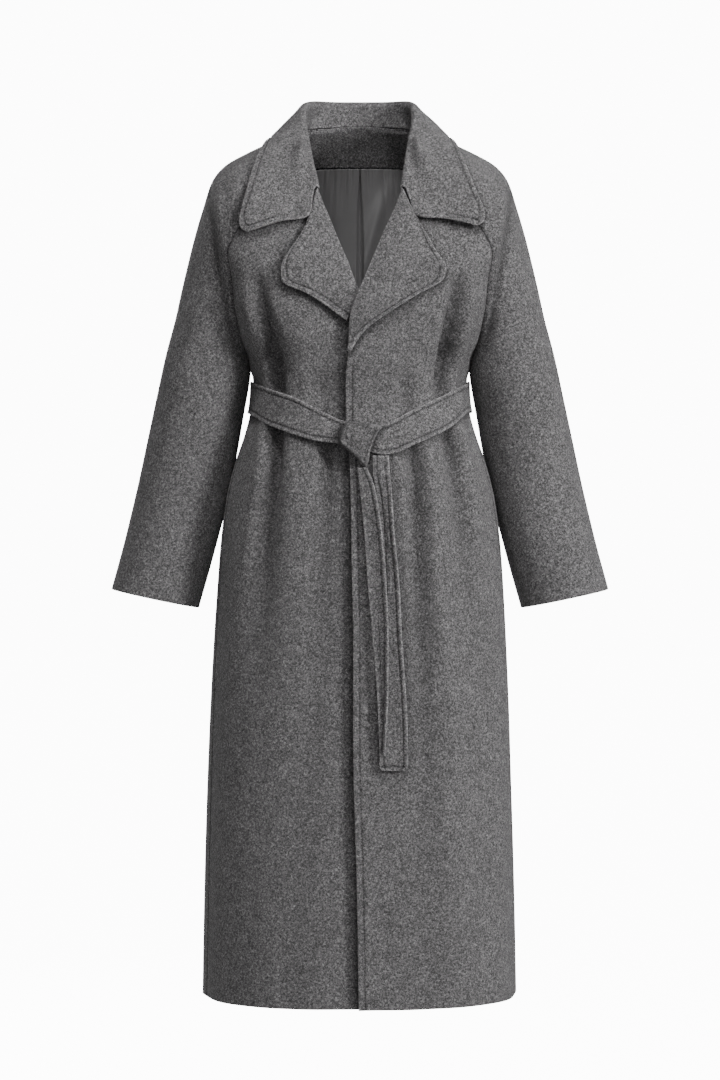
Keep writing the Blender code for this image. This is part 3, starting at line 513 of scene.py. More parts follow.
def weave(name, grid, hint, thick, grooves=(), seams=(), shade=0):
    # a sheet with round edges: outer and inner faces meet along the rim; seamed sides run on a little
    grid = np.array(grid, float)
    pull = [-stitchLook["overlap"] if side in seams else 0.12 for side in ("u0", "u1")]
    normal = gridNormals(grid, hint)
    u0, v0, u1, v1 = distances(grid)
    inward = [unit(grid[:, 1] - grid[:, 0]), unit(grid[:, -2] - grid[:, -1])]
    grid[:, 0] += inward[0] * pull[0]
    grid[:, -1] += inward[1] * pull[1]
    radius = thick / 2
    edge = np.minimum(np.minimum(u0, u1), np.minimum(v0, v1))
    fromRim = 1 - np.clip(edge / (radius * 1.15), 0, 1)
    half = radius * np.sqrt(np.clip(1 - fromRim ** 2, 0, 1))
    press = np.zeros_like(half)
    sides = {"u0": u0, "u1": u1, "v0": v0, "v1": v1}
    for side, inset, reach in grooves:
        line = np.exp(-((sides[side] - inset) / stitchLook["half"]) ** 2)
        press += stitchLook["depth"] * line * reach(u0, v0, u1, v1)
    for side in seams:
        press += seamLook["depth"] * np.exp(-(sides[side] / seamLook["reach"]) ** 2)
    outerFace = grid + normal * (half - press)[..., None]
    innerFace = grid - normal * (half - press / 2)[..., None]
    rows, cols = half.shape
    index = np.arange(rows * cols).reshape(rows, cols)
    innerIndex = index.copy()
    inside = np.zeros((rows, cols), bool)
    inside[1:-1, 1:-1] = True
    innerIndex[inside] = rows * cols + np.arange(inside.sum())
    points = np.concatenate([outerFace.reshape(-1, 3), innerFace[inside]])
    outer, inner = quads(index), quads(innerIndex)[:, [0, 3, 2, 1]]
    mid = (rows // 2, cols // 2)
    du = grid[mid[0] + 1, mid[1]] - grid[mid]
    dv = grid[mid[0], mid[1] + 1] - grid[mid]
    if np.dot(np.cross(du, dv), normal[mid]) < 0:
        outer, inner = outer[:, ::-1], inner[:, ::-1]
    faces = np.concatenate([outer, inner])
    mesh = bpy.data.meshes.new(name)
    mesh.from_pydata((points * mm).tolist(), [], faces.tolist())
    # painted light and shade: a painted highlight along the free edges, painted shade down in pressed lines
    # and seams, and the painted shade passed in as shade
    rim = np.exp(-(edge / stitchLook["rim"]) ** 2) * (0 if seams else 1)
    rim = rim - np.clip(press / stitchLook["depth"], 0, 1) - shade
    paintedLightShade = mesh.attributes.new("paintedLightShade", "FLOAT", "POINT")
    paintedLightShade.data.foreach_set("value", np.concatenate([rim.reshape(-1), rim[inside] * 0.4]).astype(np.float32))
    uv = np.stack([u0 - u0[:, [cols // 2]], v0], axis=-1) * mm
    vertexUv = np.concatenate([uv.reshape(-1, 2), uv[inside]])
    layer = mesh.uv_layers.new(name="cloth")
    loops = np.zeros(len(mesh.loops), int)
    mesh.loops.foreach_get("vertex_index", loops)
    layer.data.foreach_set("uv", vertexUv[loops].reshape(-1))
    mesh.polygons.foreach_set("use_smooth", [True] * len(mesh.polygons))
    mesh.update()
    thing = bpy.data.objects.new(name, mesh)
    bpy.context.scene.collection.objects.link(thing)
    pieceNotes[name] = {"thing": thing, "grid": grid, "normal": normal, "outer": outerFace} | sides
    return thing


def roundedCorner(grid, radius, lastRow, lastColumn):
    # turns the square corner of a sheet into a round one
    g = grid[::-1] if lastRow else grid
    g = g[:, ::-1] if lastColumn else g
    u, v, _, _ = distances(g)
    s, t = np.clip(1 - u / radius, 0, 1)[..., None], np.clip(1 - v / radius, 0, 1)[..., None]
    inU, inV = np.zeros_like(g), np.zeros_like(g)
    inU[:, :-1] = unit(np.diff(g, axis=1))
    inV[:-1] = unit(np.diff(g, axis=0))
    g = g + inU * (s - s * np.sqrt(1 - t * t / 2)) * radius + inV * (t - t * np.sqrt(1 - s * s / 2)) * radius
    g = g[:, ::-1] if lastColumn else g
    return g[::-1] if lastRow else g


def outOfSleeve(sign):
    return lambda p: [p[0] - sign * (150 - 0.26 * (p[2] + 20)), p[1], 30 if p[2] > -60 else 0]


def treeOf(grids):
    points, faces = [], []
    for grid in grids:
        rows, cols = grid.shape[:2]
        index = np.arange(rows * cols).reshape(rows, cols) + len(points)
        points += grid.reshape(-1, 3).tolist()
        faces += quads(index).tolist()
    return BVHTree.FromPolygons(points, faces)


always = lambda u0, v0, u1, v1: 1.0

# Body and sleeves
print("body panels")
frontLeftGrid = frontGrid(1, wrapEdge, False)
frontRightGrid = frontGrid(-1, underEdge, True)
backPanelGrid = backGrid()
sleeveLeftGrid = sleeveGrid(1)
sleeveRightGrid = sleeveGrid(-1)
onlyLow = lambda u0, v0, u1, v1: step(262, 275, v0)
frontLines = [("u0", stitchLook["inset"], onlyLow)]
frontLeft = weave("frontLeft", frontLeftGrid, outOfBody, cloth["shell"], frontLines, seams=("u1",),
                  shade=paintedFrontShade(frontLeftGrid, 1))
frontRight = weave("frontRight", frontRightGrid, outOfBody, cloth["shell"], seams=("u1",),
                   shade=paintedFrontShade(frontRightGrid, -1))
backPanel = weave("backPanel", backPanelGrid, outOfBody, cloth["shell"], seams=("u0", "u1"))
sleeveLeft = weave("sleeveLeft", sleeveLeftGrid, outOfSleeve(1), cloth["shell"], seams=("u0", "u1"),
                   shade=armShade(sleeveLeftGrid, 1))
sleeveRight = weave("sleeveRight", sleeveRightGrid, outOfSleeve(-1), cloth["shell"], seams=("u0", "u1"),
                    shade=armShade(sleeveRightGrid, -1))
wrapTree = treeOf([frontLeftGrid, sleeveLeftGrid])
underTree = treeOf([frontRightGrid, sleeveRightGrid])
shellTree = treeOf([frontLeftGrid, frontRightGrid, backPanelGrid, sleeveLeftGrid, sleeveRightGrid])


def onFront(x, z, tree, clear):
    place, normal, index, gap = tree.ray_cast(Vector((x, -400, z)), Vector((0, 1, 0)))
    if place is None:
        place, normal, index, gap = tree.find_nearest(Vector((x, -120, z)))
    normal = np.array(normal)
    return np.array(place) + (normal if normal[1] < 0 else -normal) * clear


def lift(point, tree, clear, outward):
    for _ in range(4):
        place, normal, index, gap = tree.find_nearest(Vector(point))
        normal = np.array(normal)
        if np.dot(normal, outward) < 0:
            normal = -normal
        height = np.dot(point - np.array(place), normal)
        if height >= clear:
            return point
        point = point + normal * (clear - height)
    return point


# Lapels: loft is how far the turned cloth stands off the front
print("lapels")
lapelLook = {"loft": 5.0, "underLoft": 4.0, "gap": 1.2, "edgeLift": 0.9}


def lapelGrid(table, sign, tree, clear, loft, rows=64, cols=26):
    grid = []
    middle = np.linspace(0, 1, rows + 1)[1:-1]
    for s in np.concatenate([[0, 0.002, 0.006, 0.011], middle, [0.994, 1.0]]):
        roll = np.array([read(table, "key", "rollX", s), read(table, "key", "rollZ", s)])
        edge = np.array([read(table, "key", "edgeX", s), read(table, "key", "edgeZ", s)])
        span = np.linalg.norm(edge - roll)
        u = marksUnit(span, cols)
        crown = 4 * u * (1 - u) * (1.5 - 0.9 * u) + lapelLook["edgeLift"] * u ** 3
        puff = loft * min(span / 60, 1) * crown
        line = []
        for k in range(len(u)):
            spot = roll + (edge - roll) * u[k]
            line.append(onFront(sign * spot[0], spot[1], tree, clear + puff[k]))
        grid.append(line)
    return np.array(grid)


def marksUnit(span, cols):
    scale = min(1, span / 24)
    near = [s * scale / max(span, 1e-6) for s in edgeSteps]
    inner = 1 - 2 * near[-1]
    middle = [near[-1] + inner * i / cols for i in range(1, cols)]
    return np.array(near + middle + [1 - s for s in reversed(near)])


def evened(grid, times):
    # softens small steps where the cloth below changes slope
    for _ in range(times):
        around = grid[:-2, 1:-1] + grid[2:, 1:-1] + grid[1:-1, :-2] + grid[1:-1, 2:]
        grid[1:-1, 1:-1] = grid[1:-1, 1:-1] * 0.4 + 0.15 * around
    return grid


def toFront(p):
    return [0.0, -1.0, 0.0]


lay = cloth["shell"] / 2 + lapelLook["gap"]
lapelLeftGrid = evened(lapelGrid(wrapLapel, 1, wrapTree, lay + cloth["lapel"] / 2, lapelLook["loft"]), 4)
layUnder = lay + 0.7 + cloth["lapel"] / 2
lapelRightGrid = evened(lapelGrid(underLapel, -1, underTree, layUnder, lapelLook["underLoft"]), 4)
edgeLine = [("u1", stitchLook["inset"], lambda u0, v0, u1, v1: step(8, 16, u0 + u1) * step(6, 12, v0))]
lapelLeft = weave("lapelLeft", lapelLeftGrid, toFront, cloth["lapel"], edgeLine)
lapelRight = weave("lapelRight", lapelRightGrid, toFront, cloth["lapel"], edgeLine)


# Collar: sections run from the neck seam up the stand, over the roll and down to the edge
print("collar")
collarLook = {"clear": 1.1, "noseLoft": 7.0, "uneven": 7.0, "drop": 10.0, "corner": 5.0}


def neckSeam(sign):
    start = crossing(0, wrapEdge if sign > 0 else underEdge)
    out = []
    for t in np.linspace(0, 1, 26)[:-1]:
        key = float(np.interp(t, [0, 0.2, 0.4, 0.6, 0.8, 1], [0, 0.9, 1.6, 2.2, 2.7, 3.1]))
        out.append((key, bodyRow(0, [start + (1 - start) * t], sign)[0]))
    for t in np.linspace(1, -1, 43)[:-1]:
        out.append((3.1 + 1.75 * (1 - t), sleeveRow(0, [t])[0] * [sign, 1, 1]))
    for t in np.linspace(0, 1, 22):
        out.append((6.6 + 1.4 * t, bodyRow(0, [1.0000001 + t * 0.9999999], sign)[0]))
    return out


def bend(points, t):
    # even curve through a few points, read at t from 0 to 1
    points = np.array(points)
    s = lengths(points)
    return np.stack([smoothCatmull(s / s[-1], points[:, a], t) for a in range(3)], axis=1)


def smoothCatmull(k, v, at):
    gap = np.diff(k)
    rise = np.diff(v) / gap
    middle = (rise[:-1] * gap[1:] + rise[1:] * gap[:-1]) / (gap[:-1] + gap[1:])
    return hermite(k, v, np.concatenate([[rise[0]], middle, [rise[-1]]]), at)


def collarSection(key, seam, sign):
    roll, mid, edge = (np.array([float(read(collarSections, "key", part + axis, key)) for axis in "XYZ"])
                       * [sign, 1, 1] for part in ("roll", "mid", "edge"))
    if sign < 0:
        near = 1 - step(0.6, 2.6, key)
        edge += np.array([collarLook["uneven"], 0, -collarLook["drop"]]) * near
        mid += np.array([7 * (1 - step(0, 0.8, key)), 0, 0])
        roll -= np.array([3.5, 0, 0]) * step(0.5, 2, key) * (1 - step(5, 6, key))
    out = unit(np.array([edge[0] - roll[0], edge[1] - roll[1] if key > 4 else -30.0, 0]))
    up = unit(np.array([0, -0.6 * (1 - step(1, 5, key)), 1.0]))
    foot = seam + unit(roll - seam) * (0.7 + 2.0 * step(0.2, 0.9, key) * (1 - step(2, 3, key)))
    inner = roll - out * 3.2 - up * 3.0
    outer = roll + out * 3.4 - up * 3.4
    return foot, inner, roll, outer, mid, edge, out


def collarLine(key, seam, sign, count=30):
    foot, inner, roll, outer, mid, edge, out = collarSection(key, seam, sign)
    steps = np.concatenate([[0, 0.012, 0.03, 0.055], np.linspace(0.1, 1, 14)])
    top = bend([foot, (foot + inner) / 2, inner, roll, outer], steps)
    low = bend([outer, (outer + mid) / 2, mid, (mid + edge) / 2, edge], np.linspace(0, 1, 40))
    length = lengths(low)
    near = np.array(edgeSteps)[::-1]
    places = np.concatenate([np.linspace(0, length[-1] - near[0], count)[1:], length[-1] - near[1:]])
    fall = np.stack([np.interp(places, length, low[:, a]) for a in range(3)], axis=1)
    return np.concatenate([top, fall]), np.array([out[0], out[1], 0.6])


collarLines = [collarLine(key, seam, -1) for key, seam in neckSeam(-1)]
collarLines += [collarLine(key, seam, 1) for key, seam in reversed(neckSeam(1)[:-1])]
collarAims = [aim for line, aim in collarLines]
collarGrid = np.array([line for line, aim in collarLines])
foldColumn = 19


def blurred(field, times):
    for _ in range(times):
        wide = np.pad(field, [(1, 1), (1, 1)] + [(0, 0)] * (field.ndim - 2), mode="edge")
        around = wide[:-2, 1:-1] + wide[2:, 1:-1] + wide[1:-1, :-2] + wide[1:-1, 2:]
        field = (around + 2 * field) / 6
    return field


def grown(field, times):
    for _ in range(times):
        wide = np.pad(field, 1, mode="edge")
        field = np.maximum.reduce([wide[:-2, 1:-1], wide[2:, 1:-1], wide[1:-1, :-2], wide[1:-1, 2:], field])
    return field


def settled(grid, rounds=6):
    # smooth the fall, then raise it evenly where it is too near the cloth below
    part = grid[:, foldColumn:].copy()
    rows, cols = part.shape[:2]
    base = cloth["shell"] / 2 + cloth["collar"] / 2 + collarLook["clear"]
    along = np.linspace(0, 1, cols)[None, :]
    nose = np.minimum(np.arange(rows), np.arange(rows)[::-1])[:, None]
    free = np.clip((along - 0.36) / 0.64, 0, 1)
    loft = collarLook["noseLoft"] * np.exp(-(nose / 11) ** 2) * np.sin(free * math.pi * 0.93) ** 0.7
    aims = np.array(collarAims)
    for _ in range(rounds):
        soft = blurred(part, 3)
        part[1:-1, 1:-1] = soft[1:-1, 1:-1]
        part[2:-2, -1] = part[2:-2, -1] * 0.6 + 0.2 * (part[1:-3, -1] + part[3:-1, -1])
        short, away = np.zeros((rows, cols)), np.zeros((rows, cols, 3))
        for i in range(rows):
            for j in range(cols):
                place, normal, index, gap = shellTree.find_nearest(Vector(part[i, j]))
                normal = np.array(normal)
                if np.dot(normal, aims[i]) < 0:
                    normal = -normal
                offset = part[i, j] - np.array(place)
                height = np.dot(offset, normal)
                beside = math.sqrt(max(gap * gap - height * height, 0))
                need = base + loft[i, j]
                away[i, j] = offset / max(gap, 0.1) if beside > 2 else normal
                if gap >= need and (beside > 2 or height > 0):
                    continue
                short[i, j] = need - (gap if beside > 2 else height)
        raised = blurred(grown(short, 3), 8)
        away = unit(blurred(away, 14))
        part += away * np.maximum(raised, short * 0.6)[..., None]
    part[1:-1, 1:-1] = blurred(part, 5)[1:-1, 1:-1]
    grid[:, foldColumn:] = part
    top = grid[:, 3:foldColumn + 8]
    soft = blurred(top, 6)
    top[1:-1, 1:-1] = soft[1:-1, 1:-1]
    return grid


def respaced(grid):
    # fine columns along the outer edge and fine rows along the two front edges
    out = []
    for line in grid:
        fall = line[foldColumn:]
        length = lengths(fall)
        near = np.array(edgeSteps)[::-1]
        places = np.concatenate([np.linspace(0, length[-1] - near[0], 27)[:-1], length[-1] - near])
        out.append(np.concatenate([line[:foldColumn], bend(fall, places / length[-1])]))
    grid = np.array(out)
    rule = lengths(grid[:, -12])
    near = np.array(edgeSteps + [13.0, 15.0])
    index = np.arange(len(grid), dtype=float)
    first, last = np.interp(near, rule, index), np.interp(rule[-1] - near, rule, index)[::-1]
    middle = [k for k in index if first[-1] + 0.5 < k < last[0] - 0.5]
    keys = np.concatenate([first, middle, last])
    columns = [smoothCatmull(index, column, keys) for column in grid.reshape(len(grid), -1).T]
    return np.stack(columns, axis=1).reshape(len(keys), *grid.shape[1:])


collarGrid = respaced(settled(collarGrid))


def outOfCollar(p):
    return [p[0], p[1] - 20, 30]


collarGrooves = [("u1", stitchLook["inset"], lambda u0, v0, u1, v1: step(7, 9, v0) * step(7, 9, v1)),
                 ("v0", stitchLook["inset"], lambda u0, v0, u1, v1: step(95, 105, u0) * step(7, 9, u1)),
                 ("v1", stitchLook["inset"], lambda u0, v0, u1, v1: step(95, 105, u0) * step(7, 9, u1))]
collarGrid = roundedCorner(collarGrid, collarLook["corner"], 0, 1)
collarGrid = roundedCorner(collarGrid, collarLook["corner"], 1, 1)
collarCloth = weave("collarCloth", collarGrid, outOfCollar, cloth["collar"], collarGrooves)

# Inside of the back: facing, then lining with a pleat at the middle
print("inside of the back")
insideLook = {"gather": 1.5, "pleat": 1.7, "pleatOpen": 3.6, "fold": 4.0, "sink": 6.8, "off": 7.8}


def insideBack(x, z, offset):
    low = min(z, 37 - 4 * (x / 62) ** 2)  # above the neck seam the point below it is carried straight up
    place, normal, index, gap = shellTree.ray_cast(Vector((x, 20, low)), Vector((0, 1, 0)))
    if place is None:
        place, normal, index, gap = shellTree.find_nearest(Vector((x, 60, low)))
    normal = np.array(normal)
    return np.array(place) + (normal if normal[1] < 0 else -normal) * offset + [0, -0.14 * (z - low), z - low]


def facingGrid():
    grid = []
    for t in fitMarks(58, 8) / 58:
        line = []
        for x in -76 + fitMarks(150, 22):
            top = 45 - 6.5 * (x / 62) ** 2
            line.append(insideBack(x, top + (-13 - top) * t, cloth["shell"] / 2 + 0.8 + cloth["facing"] / 2))
        grid.append(line)
    return evened(np.array(grid), 3)


def liningGrid():
    gathers = [(-52, 2.2, 34), (-44, 1.6, 22), (-37, 2.4, 46), (-28, 1.7, 26), (-20, 2.1, 40), (-12, 1.4, 20),
               (11, 1.5, 24), (19, 1.2, 18), (34, 2.2, 42), (41, 1.5, 24), (49, 2.3, 36), (57, 1.6, 26)]
    grid = []
    for t in fitMarks(330, 60) / 330:
        z = -13.4 - 330 * t
        half = insideLook["pleat"] + insideLook["pleatOpen"] * step(0, 0.25, t)
        outerX = half + fitMarks(96 - half, 34)
        line = []
        for x in list(-outerX[::-1]) + [-half * 0.72, -0.7, 0.7, half * 0.72] + list(outerX):
            base = insideBack(x, z, cloth["shell"] / 2 + insideLook["off"])
            move = 0
            for at, deep, run in gathers:
                off = (x - at * (1 + t * 0.3)) / 2.4
                move += deep * insideLook["gather"] * math.exp(-off ** 2 - (t * 330 / run) ** 1.5)
            if abs(x) < half:
                move += insideLook["sink"] * (1 - step(0.3, 0.9, abs(x) / half))
            if abs(x) > half:
                slant = insideLook["fold"] * math.exp(-((x - 44 + t * 90) / 9) ** 2) * (1 - step(0.5, 0.8, t))
                move -= (slant + 1.6 * math.exp(-((x + 40 - t * 30) / 10) ** 2)) * step(0.02, 0.2, t)
            line.append(base + np.array([0, move, 0]))
        grid.append(line)
    return np.array(grid)


def toBack(p):
    return [0.0, 1.0, 0.0]


neckFacing = weave("neckFacing", facingGrid(), toBack, cloth["facing"])
liningBack = weave("liningBack", liningGrid(), toBack, cloth["lining"])

# Belt
print("belt")
beltLook = {"gap": 0.9}


def beltGrid(count=150, across=16):
    grid = []
    places = np.concatenate([np.linspace(0.02, 2, count), -np.linspace(2, 0.02, count)[1:]])
    for place in places:
        sign, q = (1, place) if place > 0 else (-1, -place)
        row = 10.6
        for _ in range(6):
            base = bodyRow(row, [q], sign)[0]
            if q <= 1:
                high = float(read(beltEdge, "x", "high", base[0]))
                low = float(read(beltEdge, "x", "low", base[0]))
            else:
                high = -329 + 3 * step(1, 1.9, q)
                low = high - 45
            row = float(np.interp(-(high + low) / 2, trunkTable["down"], trunkTable["row"]))
        width = high - low
        line = []
        for t in fitMarks(width, across) / width:
            z = high + (low - high) * t
            p = bodyRow(float(np.interp(-z, trunkTable["down"], trunkTable["row"])), [q], sign)[0]
            p = p + unit(outOfBody(p)) * (cloth["shell"] / 2 + beltLook["gap"] + cloth["belt"] / 2)
            p[2] = z
            line.append(p)
        grid.append(line)
    return np.array(grid)


beltLines = [("u0", stitchLook["beltInset"], always), ("u1", stitchLook["beltInset"], always)]
beltWaistGrid = evened(beltGrid(), 2)
knotRim = np.array(knotOutline + knotOutline[:1], float)
# painted shadow on the belt all round the knot's outline
knotShade = closeTo(beltWaistGrid.reshape(-1, 3), knotRim[:, 0], -knotRim[:, 1], paintedShadeLook["edgeReach"])
beltWaist = weave("beltWaist", beltWaistGrid, outOfBody, cloth["belt"], beltLines,
                  shade=paintedShadeLook["edge"] * knotShade.reshape(beltWaistGrid.shape[:2]))


def bodyFront(x, z):
    # y of the front of the body at one height, for x in mm
    row = float(np.interp(-z, trunkTable["down"], trunkTable["row"]))
    ring = halfRing(row, np.linspace(0, 0.6, 40), -1)
    return np.interp(np.abs(x), ring[:, 0], ring[:, 1])


endLook = {"cup": -3.0}


def endGrid(table, across=12):
    grid = []
    first, last = table["down"][0], table["down"][-1]
    for down in first + marks(last - first, 6.0):
        left, right = (float(read(table, "down", c, down)) for c in ("left", "right"))
        offL, offR = (float(read(table, "down", c, down)) for c in ("offL", "offR"))
        width = right - left
        t = fitMarks(width, across) / width
        x = left + width * t
        cup = endLook["cup"] * float(step(first + 20, first + 120, down))
        y = bodyFront(x, -down) - offL * (1 - t) - offR * t - cup * np.sin(t * math.pi)
        grid.append(np.stack([x, y, np.full_like(x, -down)], axis=1))
    return np.array(grid)


endLines = beltLines + [("v1", stitchLook["beltInset"], always)]
turnedLines = [("u1", stitchLook["beltInset"], always)]
beltEndRight = weave("beltEndRight", endGrid(endRight), toFront, cloth["belt"], turnedLines)
endLeftGrid = roundedCorner(roundedCorner(endGrid(endLeft), 4.0, 1, 0), 4.0, 1, 1)
beltEndLeft = weave("beltEndLeft", endLeftGrid, toFront, cloth["belt"], endLines)

# Knot: the wrapped belt as one lump; low is its height where it leaves the belt, against the free edge
print("knot")
knotLook = {"height": 14.5, "edge": 3.6, "low": 0.55, "around": 120}
knotRings = [0.01, 0.03, 0.06, 0.1, 0.14, 0.18, 0.22, 0.26, 0.3, 0.35, 0.4, 0.46, 0.52, 0.58, 0.64, 0.7, 0.76,
             0.82, 0.88, 0.94]
# Its folds: start, end, depth, half width; the first is the stitched line beside the free edge
knotFolds = [((24, -396), (4, -448), 1.5, 1.2), ((-15, -394), (-12, -420), 1.3, 2.2),
             ((-26, -412), (-8, -428), 1.6, 3.4), ((-8, -399), (14, -402), 0.9, 2.4)]


def foldPlace(q, fold):
    # distance along a fold and beside it, and its length
    (ax, az), (bx, bz) = fold[:2]
    run = math.hypot(bx - ax, bz - az)
    s = ((q[0] - ax) * (bx - ax) + (q[1] - az) * (bz - az)) / run
    return s, abs((q[0] - ax) * (bz - az) - (q[1] - az) * (bx - ax)) / run, run


def knotMesh():
    outline = np.array(knotOutline, float)
    centre = np.array([0.0, -419.0])
    closed = np.concatenate([outline, outline[:1]])
    s = lengths(closed)
    at = np.linspace(0, s[-1], knotLook["around"], endpoint=False)
    ring = np.stack([np.interp(at, s, closed[:, a]) for a in range(2)], axis=1)
    for _ in range(3):
        ring = ring * 0.5 + 0.25 * (np.roll(ring, 1, axis=0) + np.roll(ring, -1, axis=0))
    lift0 = cloth["shell"] / 2 + beltLook["gap"] + cloth["belt"] + 0.8
    points, faces, paintedLightShades = [], [], []
    frontY = float(bodyFront(0, -419))

    def heightAt(q, scale):
        edge = min((1 - scale) * 19 / knotLook["edge"], 1)
        high = knotLook["height"] * math.sqrt(1 - (1 - edge) ** 2)
        for fold in knotFolds:
            s, off, run = foldPlace(q, fold)
            ends = step(-4, 3, s) * (1 - step(run - 3, run + 4, s))
            high -= fold[2] * float(ends) * math.exp(-(off / fold[3]) ** 2) * edge
        tilt = min(max((q[0] + 30) / 60, 0), 1)
        return high * (knotLook["low"] + (1 - knotLook["low"]) * tilt)

    for scale, high in [(0.93, -1.0), (1.0, 0.0)] + [(1 - k, None) for k in knotRings]:
        for p in ring:
            q = centre + (p - centre) * scale
            h = heightAt(q, scale) if high is None else high
            points.append([q[0], frontY - lift0 - h, q[1]])
            # painted light and shade: painted shade down the stitched line, a painted shadow round the foot
            # of the knot and a painted highlight on its right rim
            off = foldPlace(q, knotFolds[0])[1]
            rim = math.exp(-((1 - scale) * 19 / 2.2) ** 2)
            hem = float(step(4, 12, q[0] - (-419 - q[1]) * -0.35))
            paintedLightShades.append(-0.9 * math.exp(-(off / 1.1) ** 2) - rim * (1 - hem) + 0.5 * rim * hem)
    n = len(ring)
    loops = len(points) // n
    for r in range(loops - 1):
        for k in range(n):
            a, b = r * n + k, r * n + (k + 1) % n
            faces.append((a, a + n, b + n, b))
    tip, foot = len(points), len(points) + 1
    points.append([0, frontY - lift0 - heightAt((0, -419), 0), -419])
    points.append([0, frontY - lift0 + 1, -419])
    # painted shade under the foot of the knot
    paintedLightShades += [0, -0.9]
    last = (loops - 1) * n
    for k in range(n):
        faces.append((last + k, tip, last + (k + 1) % n))
        faces.append(((k + 1) % n, foot, k))
    mesh = bpy.data.meshes.new("beltKnot")
    mesh.from_pydata((np.array(points) * mm).tolist(), [], faces)
    paintedLightShade = mesh.attributes.new("paintedLightShade", "FLOAT", "POINT")
    paintedLightShade.data.foreach_set("value", np.array(paintedLightShades, np.float32))
    layer = mesh.uv_layers.new(name="cloth")
    for loop in mesh.loops:
        co = mesh.vertices[loop.vertex_index].co
        layer.data[loop.index].uv = (co.x, co.z)
    mesh.polygons.foreach_set("use_smooth", [True] * len(mesh.polygons))
    mesh.update()
    thing = bpy.data.objects.new("beltKnot", mesh)
    bpy.context.scene.collection.objects.link(thing)
    return thing


beltKnot = knotMesh()

# Wool: a group that mixes pale and dark hairs, and the material that uses it
print("materials")
woolLook = {"dark": 0.022, "middle": 0.085, "pale": 0.3, "hair": 285.0, "cloud": 60.0, "bump": 0.6,
            "roughness": 0.95, "sheen": 0.1, "paintedLightAmount": 0.62}


def newMaterial(name):
    material = bpy.data.materials.new(name)
    material.use_nodes = True
    tree = material.node_tree
    return material, tree.nodes, tree.links, tree.nodes["Principled BSDF"]


def setInputs(node, values):
    for name, value in values.items():
        node.inputs[name].default_value = value


def socket(tree, name, kind, inOut, value=None):
    item = tree.interface.new_socket(name=name, in_out=inOut, socket_type=kind)
    if value is not None:
        item.default_value = value


def mathNode(tree, operation, *values):
    node = tree.nodes.new("ShaderNodeMath")
    node.operation = operation
    for k, value in enumerate(values):
        if isinstance(value, (int, float)):
            node.inputs[k].default_value = value
        else:
            tree.links.new(value, node.inputs[k])
    return node.outputs["Value"]


def noiseNode(tree, vector, scale, detail=2.0, distortion=0.0, move=None):
    if move:
        shift = tree.nodes.new("ShaderNodeVectorMath")
        shift.operation = "ADD"
        shift.inputs[1].default_value = move
        tree.links.new(vector, shift.inputs[0])
        vector = shift.outputs["Vector"]
    noise = tree.nodes.new("ShaderNodeTexNoise")
    noise.inputs["Detail"].default_value = detail
    noise.inputs["Distortion"].default_value = distortion
    tree.links.new(vector, noise.inputs["Vector"])
    if isinstance(scale, (int, float)):
        noise.inputs["Scale"].default_value = scale
    else:
        tree.links.new(scale, noise.inputs["Scale"])
    return noise.outputs["Fac"]


def melangeGroup():
    # pale curly hairs (where a noise crosses its middle) over dark and middle grey ones
    tree = bpy.data.node_groups.new("woolMelange", "ShaderNodeTree")
    socket(tree, "Vector", "NodeSocketVector", "INPUT")
    socket(tree, "Hair", "NodeSocketFloat", "INPUT", woolLook["hair"])
    socket(tree, "Cloud", "NodeSocketFloat", "INPUT", woolLook["cloud"])
    socket(tree, "Mix", "NodeSocketFloat", "OUTPUT")
    socket(tree, "Height", "NodeSocketFloat", "OUTPUT")
    inside, outside = tree.nodes.new("NodeGroupInput"), tree.nodes.new("NodeGroupOutput")
    vector, hair = inside.outputs["Vector"], inside.outputs["Hair"]
    strands = []
    for move, width in (((0.0, 0.0, 0.0), 0.055), ((3.1, 1.7, 5.3), 0.05), ((7.9, 4.3, 2.2), 0.045)):
        wander = noiseNode(tree, vector, hair, 1.0, 1.4, move)
        apart = mathNode(tree, "ABSOLUTE", mathNode(tree, "SUBTRACT", wander, 0.5))
        strands.append(mathNode(tree, "SUBTRACT", 1.0, mathNode(tree, "SMOOTH_MIN",
                                mathNode(tree, "DIVIDE", apart, width), 1.0, 0.3)))
    lit = mathNode(tree, "MAXIMUM", mathNode(tree, "MAXIMUM", strands[0], strands[1]), strands[2])
    blot = noiseNode(tree, vector, mathNode(tree, "MULTIPLY", hair, 1.4), 2.0, 0.6, (1.3, 8.1, 0.4))
    dark = mathNode(tree, "MULTIPLY", mathNode(tree, "SUBTRACT", blot, 0.5), 1.5)
    grain = noiseNode(tree, vector, 1900.0, 1.0)
    fine = mathNode(tree, "MULTIPLY", mathNode(tree, "SUBTRACT", grain, 0.5), 0.7)
    cloud = mathNode(tree, "SUBTRACT", noiseNode(tree, vector, inside.outputs["Cloud"], 3.0), 0.5)
    total = mathNode(tree, "ADD", mathNode(tree, "MULTIPLY_ADD", lit, 0.42, 0.22),
                     mathNode(tree, "ADD", dark, mathNode(tree, "MULTIPLY_ADD", cloud, 0.22, fine)))
    tree.links.new(total, outside.inputs["Mix"])
    height = mathNode(tree, "ADD", lit, mathNode(tree, "MULTIPLY", fine, 1.5))
    tree.links.new(height, outside.inputs["Height"])
    return tree


melange = melangeGroup()


def grey(v, warm=0.015):
    return (v * (1 + warm), v * (1 - warm), v, 1)


def roughened(nodes, links, shader, height, strength, distance):
    bump = nodes.new("ShaderNodeBump")
    setInputs(bump, {"Strength": strength, "Distance": distance})
    links.new(height, bump.inputs["Height"])
    links.new(bump.outputs["Normal"], shader.inputs["Normal"])


